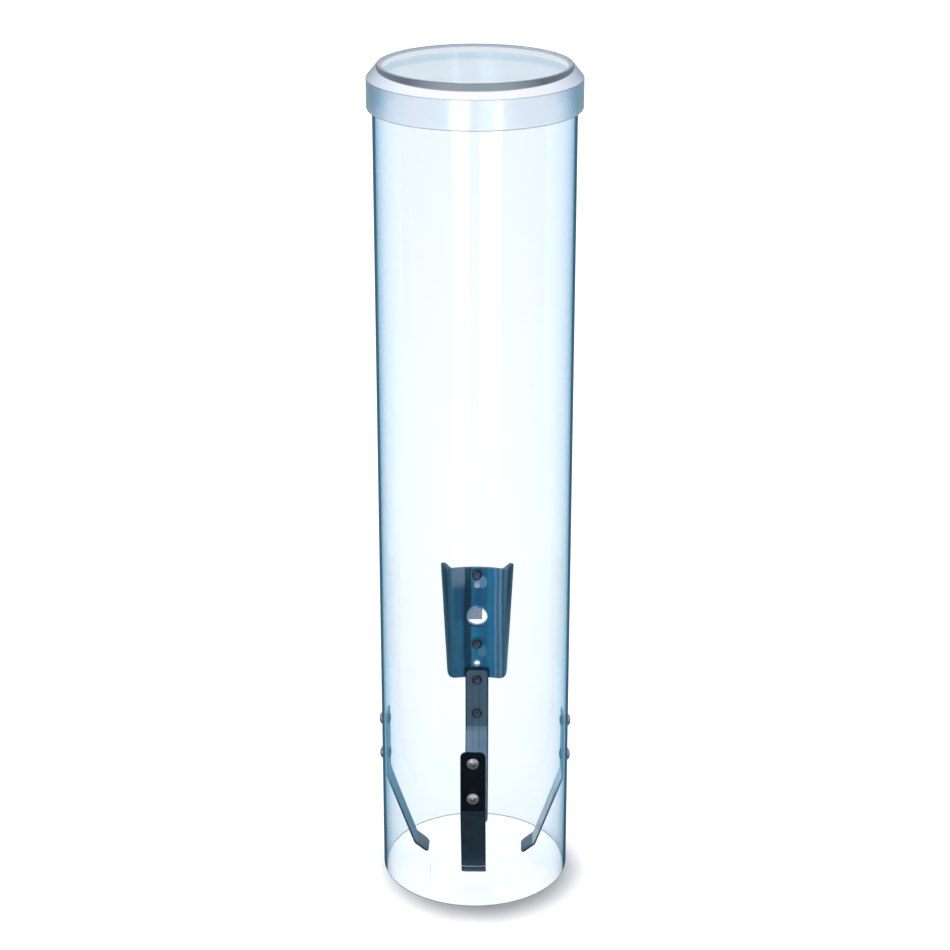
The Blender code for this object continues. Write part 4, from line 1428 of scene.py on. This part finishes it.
def pad_foam(settings):
    """The pad's closed-cell foam, with open cells at its cut faces."""
    material, tree, shader, _ = new_material("pad_foam")
    place = object_place(tree)
    cells = place_group(tree, specks, vector=place, scale=1600.0, size=0.6)["Mask"]
    clouds = place_group(tree, mottle, vector=place, scale=220.0)["Mask"]
    grey = settings.pad.grey
    dark = tuple(channel * DARK_FOAM for channel in grey)
    finish = {
        "Base Color": mix_colour(tree, clouds, mix_colour(tree, cells, grey, dark), grey),
        "Roughness": spread(tree, cells, 0.75, 0.95),
        "Normal": bump(tree, math_node(tree, "SUBTRACT", 1.0, cells), strength=0.6, distance=0.0002),
    }
    set_inputs(tree, shader, finish)
    return material


def bare_film(settings):
    """The bare clear film of the label, very slightly uneven."""
    material, tree, shader, output = new_material("bare_film")
    label = settings.label
    clouds = place_group(tree, mottle, vector=place_from_axis(tree), scale=120.0)["Mask"]
    finish = {
        "Base Color": mix_colour(tree, clouds, WHITE, label.clouded),
        "Roughness": spread(tree, clouds, 0.05, 0.12),
        "Normal": bump(tree, clouds, strength=0.05, distance=0.0001),
        "Transmission Weight": 1.0,
        "IOR": FILM_IOR,
    }
    set_inputs(tree, shader, finish)
    let_light_through(tree, shader, output, label.passed)
    return material


# Operators


class DISPENSER_OT_tube(bpy.types.Operator):
    """Builds the clear tube with its drilled holes"""

    bl_idname = "dispenser.tube"
    bl_label = "Build Tube"

    def execute(self, context):
        settings = context.scene.dispenser
        tube = settings.tube
        inner = tube.radius - tube.wall
        corners = ((inner, 0.0), (tube.radius, 0.0), (tube.radius, tube.height), (inner, tube.height))
        outline = [(radius, height, tube.edge) for radius, height in corners]
        material = shared_material(tube_plastic)
        item = add_object("tube_shell", outline_mesh("tube_shell", outline, closed=True))
        add_tree(item, turned_piece, segments=tube.sides, material=material)
        drill_and_settle(item, hole_places(settings), material, smooth_wall=True)
        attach(item, "tube")
        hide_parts("tube")
        return {"FINISHED"}


class DISPENSER_OT_cap(bpy.types.Operator):
    """Builds the cap, with its disc, raised ring, shoulder and skirt"""

    bl_idname = "dispenser.cap"
    bl_label = "Build Cap"

    def execute(self, context):
        settings = context.scene.dispenser
        cap = settings.cap
        outer = CAP_HIGH.x
        inner = outer - cap.wall
        disc_top = CAP_HIGH.z - cap.ring_rise
        disc_bottom = disc_top - cap.disc
        shoulder = disc_top - cap.drop
        ring_inner = cap.ring_radius - cap.ring_wall
        crisp = cap.ring_wall * CRISP_SHARE
        outline = [
            (0.0, disc_bottom, 0.0),
            (inner, disc_bottom, crisp),
            (inner, CAP_LOW.z, crisp),
            (outer, CAP_LOW.z, 2 * crisp),
            (outer, shoulder, 2 * crisp),
            (cap.ring_radius, CAP_HIGH.z, 2 * crisp),
            (ring_inner, CAP_HIGH.z, 2 * crisp),
            (ring_inner, disc_top, crisp),
            (0.0, disc_top, 0.0),
        ]
        item = add_object("cap_shell", outline_mesh("cap_shell", outline, closed=False))
        add_tree(item, turned_piece, segments=settings.tube.sides, material=shared_material(cap_plastic))
        settle(item, smooth_wall=True)
        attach(item, "cap")
        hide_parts("cap")
        return {"FINISHED"}


class DISPENSER_OT_bracket(bpy.types.Operator):
    """Builds the saddle bracket with its wings, holes and notch"""

    bl_idname = "dispenser.bracket"
    bl_label = "Build Bracket"

    def execute(self, context):
        settings = context.scene.dispenser
        bracket, tube = settings.bracket, settings.tube
        mesh = sheet_mesh("bracket_saddle", bracket_rows(bracket, tube), bracket.thickness)
        item = add_object("bracket_saddle", mesh)
        add_bevel(item, bracket.edge)
        notch_height = RIVET_HEIGHTS["finger"]["upper"]
        notch = (BACK_ANGLE, tube.radius, notch_height, settings.rivet.head + bracket.notch_clearance)
        rows = [row for row in hole_places(settings) if row[0] == BACK_ANGLE and row[2] > notch_height]
        drill_and_settle(item, rows + [notch], shared_material(bracket_plastic))
        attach(item, "tube")
        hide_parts("mounting_bracket")
        return {"FINISHED"}


class DISPENSER_OT_pad(bpy.types.Operator):
    """Builds the foam tape pad, hollowed to sit on the bracket"""

    bl_idname = "dispenser.pad"
    bl_label = "Build Pad"

    def execute(self, context):
        settings = context.scene.dispenser
        pad = settings.pad
        seat = settings.tube.radius + SEAT_GAP + settings.bracket.thickness + SEAT_GAP
        size = PAD_HIGH - PAD_LOW
        across = [PAD_LOW.x + size.x * column / pad.columns for column in range(pad.columns + 1)]
        levels = [PAD_LOW.z + size.z * row / pad.rows for row in range(pad.rows + 1)]
        near = [[(x, AXIS.y + math.sqrt(seat**2 - x**2), level) for x in across] for level in levels]
        far = [[(x, PAD_HIGH.y, level) for x in across] for level in levels]
        mesh = wall_mesh("foam_pad", near, far)
        mesh.materials.append(shared_material(pad_foam))
        item = add_object("foam_pad", mesh)
        add_bevel(item, pad.edge)
        settle(item)
        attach(item, "tube")
        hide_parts("foam_tape_pad")
        return {"FINISHED"}


class DISPENSER_OT_label(bpy.types.Operator):
    """Builds the bare clear label on the front of the tube"""

    bl_idname = "dispenser.label"
    bl_label = "Build Label"

    def execute(self, context):
        settings = context.scene.dispenser
        label = settings.label
        mesh = sheet_mesh("label_film", label_rows(label, settings.tube), label.thickness)
        mesh.materials.append(shared_material(bare_film))
        item = settle(add_object("label_film", mesh))
        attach(item, "tube")
        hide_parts("clear_label")
        return {"FINISHED"}


class DISPENSER_OT_fingers(bpy.types.Operator):
    """Builds the four riveted fingers, each one strip bent under its rivets"""

    bl_idname = "dispenser.fingers"
    bl_label = "Build Fingers"

    def execute(self, context):
        settings = context.scene.dispenser
        finger = settings.finger
        for side, angle in SIDE_ANGLES.items():
            name = f"finger_{side}_strip"
            item = add_object(name, sheet_mesh(name, finger_rows(finger, angle), finger.thickness))
            add_bevel(item, finger.edge)
            rows = [row for row in hole_places(settings) if row[0] == angle and row[2] < BASE_HIGH.z]
            drill_and_settle(item, rows, shared_material(strip_plastic))
            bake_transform(item)
            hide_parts(f"finger_base_{side}", f"finger_tongue_{side}")
        return {"FINISHED"}


class DISPENSER_OT_rivets(bpy.types.Operator):
    """Sets every rivet and pin in the wall"""

    bl_idname = "dispenser.rivets"
    bl_label = "Build Rivets"

    def execute(self, context):
        settings = context.scene.dispenser
        rivet, tube = settings.rivet, settings.tube
        bracket_face = tube.radius + SEAT_GAP + settings.bracket.thickness
        finger_sides = {f"finger_{side}": angle for side, angle in SIDE_ANGLES.items()}
        for group, head_seat, tail_seat, sides in (
            ("finger", tube.radius, BASE_LOW.x, finger_sides),
            ("bracket", bracket_face, tube.radius - tube.wall, {"bracket": BACK_ANGLE}),
        ):
            grip = head_seat - tail_seat
            heights = RIVET_HEIGHTS[group].values()
            rows = [
                (angle, head_seat, height, rivet.shank) for angle in sides.values() for height in heights
            ]
            places = places_object("rivet_places", rows)
            for kind, points, closed, slot, build in (
                ("rivet", rivet_outline(rivet, grip), True, "rivet_metal", rivet_aluminium),
                ("pin", pin_outline(rivet, grip), False, "pin_steel", broken_steel),
            ):
                name = f"{group}_{kind}s"
                item = add_object(name, outline_mesh(name, points, closed))
                counts = {"segments": rivet.sides, "corner_steps": FASTENER_STEPS}
                add_tree(item, fastener_row, places=places, material=shared_material(build), **counts)
                settle(item)
                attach(item, "tube")
                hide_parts(*[f"{side}_{kind}_{level}" for side in sides for level in LEVELS])
            bpy.data.objects.remove(places)
        return {"FINISHED"}


# Stage

# Colours of the floor in the tube and outside it
FLOOR_INSIDE = (0.45, 0.46, 0.48)
FLOOR_OUTSIDE = (0.72, 0.72, 0.72)
# Share of white that the floor shows by itself, over what the lamps give it: near the tube, in it and far
# out. Over its fade the floor turns to the world's level, so that no horizon shows in the plastic
FLOOR_LIFT = 0.48
FLOOR_LIFT_INSIDE = 0.76
FLOOR_LIFT_FAR = 0.28
FLOOR_FADE = (2.5, 5.5)
# The floor's side, and how far it lies under the tube
FLOOR_SIDE = 12.0
FLOOR_DROP = 0.0002
# The floor as it is seen mirrored in the plastic: a room that is dark in front and pale behind, and half
# the depth over which it turns
MIRRORED_FRONT = (0.030, 0.036, 0.044)
MIRRORED_REAR = (0.20, 0.46, 0.62)
MIRROR_TURN = 0.10
# Strength of the world, and of the world as it is seen mirrored
WORLD_LEVEL = 1.0
WORLD_MIRRORED = 0.85

# A wide soft lamp behind the tube to its left, from the tube's axis, and the height that it is aimed at
KEY_PLACE = Vector((-1.0, 1.2, 2.4))
KEY_AIM = 0.2
KEY_SIZE = (1.2, 1.2)
KEY_POWER = 10.0
# Tall lamps whose reflections run down the plastic: (name, degrees round, width, low end, high end)
STRIP_LAMPS = (("left_strip", -15.0, 0.135, 0.0, 0.34), ("right_strip", 24.0, 0.06, 0.055, 0.34))
STRIP_LAMP_DISTANCE = 0.42
# Their power for each square metre, the share of their height over which they fade, and how much of them is
# seen mirrored inside the tube
STRIP_LAMP_POWER = 11.0
STRIP_LAMP_FADE = 0.25
INNER_LAMP_SHARE = 0.18

# The width of the camera's sensor in millimetres, its shift up, and the millimetres in a metre
SENSOR_WIDTH = 36.0
CAMERA_SHIFT = 0.0005
MILLIMETRES = 1000.0


def mirrored_rays(tree, path):
    """One for rays that see the stage mirrored in a surface, after at least one bounce off gloss."""
    return math_node(tree, "GREATER_THAN", path["Glossy Depth"], 0.5)


def stage_floor(settings):
    """A pale floor that shows white, with the tube's soft contact shadow in front of its foot."""
    material, tree, shader, output = new_material("floor")
    stage, tube = settings.stage, settings.tube
    place = place_from_axis(tree)
    thrown = vector_node(tree, "ADD", place, (-stage.shadow_right, stage.shadow_front, 0.0))
    away = length_node(tree, place)
    near, far = tube.radius - stage.shadow_blur, tube.radius + stage.shadow_blur
    shadow = map_value(tree, length_node(tree, thrown), near, far, stage.shadow_depth, 0.0, smooth=True)
    outside = map_value(tree, away, tube.radius - tube.wall, tube.radius)
    lit = math_node(tree, "SUBTRACT", 1.0, times(tree, shadow, outside))
    albedo = mix_colour(tree, outside, FLOOR_INSIDE, FLOOR_OUTSIDE)
    finish = {
        "Base Color": mix_colour(tree, lit, BLACK, albedo),
        "Roughness": 0.9,
        "Specular IOR Level": 0.0,
    }
    set_inputs(tree, shader, finish)
    path = add_node(tree, "ShaderNodeLightPath").outputs
    shown = most(tree, path["Is Camera Ray"], path["Is Transmission Ray"])
    distant = map_value(tree, away, *FLOOR_FADE, smooth=True)
    lift = mix_value(tree, outside, FLOOR_LIFT_INSIDE, spread(tree, distant, FLOOR_LIFT, FLOOR_LIFT_FAR))
    glow = {"Color": mix_colour(tree, lit, BLACK, WHITE), "Strength": times(tree, shown, lift)}
    light = feed(tree, "ShaderNodeEmission", glow)
    both = feed(tree, "ShaderNodeAddShader", {0: shader.outputs[0], 1: light})
    rear = map_value(tree, parts_of(tree, place)["Y"], -MIRROR_TURN, MIRROR_TURN, smooth=True)
    near_colour = mix_colour(tree, rear, MIRRORED_FRONT, MIRRORED_REAR)
    far_colour = mix_colour(tree, distant, near_colour, (WORLD_MIRRORED,) * 3)
    dim = feed(tree, "ShaderNodeEmission", {"Color": far_colour})
    surface = feed(tree, "ShaderNodeMixShader", {0: mirrored_rays(tree, path), 1: both, 2: dim})
    set_inputs(tree, output, {"Surface": surface})
    material.cycles.emission_sampling = "NONE"
    return material


def fade_lamp(data):
    """Lets a tall lamp fade out towards its lower end, and dims it where it is seen inside the tube."""
    data.use_nodes = True
    tree = data.node_tree
    across = add_node(tree, "ShaderNodeNewGeometry").outputs["Parametric"]
    level = map_value(tree, parts_of(tree, across)["Y"], 0.0, STRIP_LAMP_FADE, smooth=True)
    inner = add_node(tree, "ShaderNodeLightPath").outputs["Is Transmission Ray"]
    share = spread(tree, inner, 1.0, INNER_LAMP_SHARE)
    set_inputs(tree, tree.nodes["Emission"], {"Strength": times(tree, level, share)})


def add_lamp(name, place, aim, size, power, mirrored_only=False):
    """An area lamp aimed at a point. One that is mirrored only shows in gloss and through plastic."""
    data = bpy.data.lights.new(name, "AREA")
    data.shape = "RECTANGLE"
    data.size, data.size_y = size
    data.energy = power
    lamp = add_object(name, data)
    lamp.location = place
    lamp.rotation_euler = (aim - place).to_track_quat("-Z", "Y").to_euler()
    lamp.visible_camera = False
    lamp.visible_diffuse = not mirrored_only
    lamp.visible_transmission = mirrored_only
    return data


class DISPENSER_OT_stage(bpy.types.Operator):
    """Builds the camera, floor, world and lamps"""

    bl_idname = "dispenser.stage"
    bl_label = "Build Stage"

    def execute(self, context):
        scene = context.scene
        settings = scene.dispenser
        scene.view_settings.view_transform = "Standard"
        self.add_camera(scene, settings.stage)
        self.add_floor(settings)
        self.add_world(scene)
        add_lamp("key", AXIS + KEY_PLACE, AXIS + UP * KEY_AIM, KEY_SIZE, KEY_POWER)
        for name, azimuth, width, low, high in STRIP_LAMPS:
            angle = math.radians(azimuth) + settings.stage.around
            way = Vector((math.sin(angle), -math.cos(angle), 0.0))
            aim = AXIS + UP * ((low + high) / 2)
            size = (width, high - low)
            power = STRIP_LAMP_POWER * width * (high - low)
            fade_lamp(add_lamp(name, aim + way * STRIP_LAMP_DISTANCE, aim, size, power, mirrored_only=True))
        return {"FINISHED"}

    def add_camera(self, scene, stage):
        """The camera at the photograph's place, as far round as the dispenser is turned."""
        data = bpy.data.cameras.new("camera")
        data.sensor_width = SENSOR_WIDTH
        data.lens = stage.lens * MILLIMETRES
        data.shift_y = CAMERA_SHIFT
        camera = add_object("camera", data)
        across = Vector((math.sin(stage.around), -math.cos(stage.around), 0.0))
        camera.location = AXIS + across * stage.distance + UP * stage.height
        camera.rotation_euler = (math.pi / 2 - stage.pitch, 0.0, stage.around)
        scene.camera = camera

    def add_floor(self, settings):
        """A wide pale floor just under the tube."""
        reach = FLOOR_SIDE / 2
        mesh = bpy.data.meshes.new("floor")
        corners = [(-reach, -reach), (reach, -reach), (reach, reach), (-reach, reach)]
        mesh.from_pydata([(x, y, -FLOOR_DROP) for x, y in corners], [], [(0, 1, 2, 3)])
        mesh.materials.append(stage_floor(settings))
        add_object("floor", mesh)

    def add_world(self, scene):
        """An even white world, a little dimmer where it is seen mirrored."""
        world = bpy.data.worlds.new("studio")
        scene.world = world
        world.use_nodes = True
        tree = world.node_tree
        mirrored = mirrored_rays(tree, add_node(tree, "ShaderNodeLightPath").outputs)
        level = mix_value(tree, mirrored, WORLD_LEVEL, WORLD_MIRRORED)
        set_inputs(tree, tree.nodes["Background"], {"Color": (*WHITE, 1.0), "Strength": level})


class DISPENSER_PT_panel(bpy.types.Panel):
    """Lists the settings and the operators"""

    bl_label = "Cup Dispenser"
    bl_space_type = "VIEW_3D"
    bl_region_type = "UI"
    bl_category = "Dispenser"

    def draw(self, context):
        settings = context.scene.dispenser
        for key, operator in PIECES.items():
            box = self.layout.box()
            box.operator(operator.bl_idname)
            group = getattr(settings, key)
            for name in group.bl_rna.properties.keys():
                if name not in ("name", "rna_type"):
                    box.prop(group, name)


PIECES = {
    "tube": DISPENSER_OT_tube,
    "cap": DISPENSER_OT_cap,
    "bracket": DISPENSER_OT_bracket,
    "pad": DISPENSER_OT_pad,
    "label": DISPENSER_OT_label,
    "finger": DISPENSER_OT_fingers,
    "rivet": DISPENSER_OT_rivets,
    "stage": DISPENSER_OT_stage,
}

SETTINGS = (
    TubeSettings,
    CapSettings,
    BracketSettings,
    PadSettings,
    LabelSettings,
    FingerSettings,
    RivetSettings,
    StageSettings,
    DispenserSettings,
)


def register():
    """Makes the settings, operators and panel known to Blender."""
    for kind in (*SETTINGS, *PIECES.values(), DISPENSER_PT_panel):
        bpy.utils.register_class(kind)
    bpy.types.Scene.dispenser = PointerProperty(type=DispenserSettings)


def unregister():
    """Takes the settings, operators and panel out of Blender."""
    del bpy.types.Scene.dispenser
    for kind in reversed((*SETTINGS, *PIECES.values(), DISPENSER_PT_panel)):
        bpy.utils.unregister_class(kind)


def main():
    """Builds everything."""
    register()
    for operator in PIECES.values():
        getattr(bpy.ops.dispenser, operator.bl_idname.split(".")[1])()


if __name__ == "__main__":
    main()
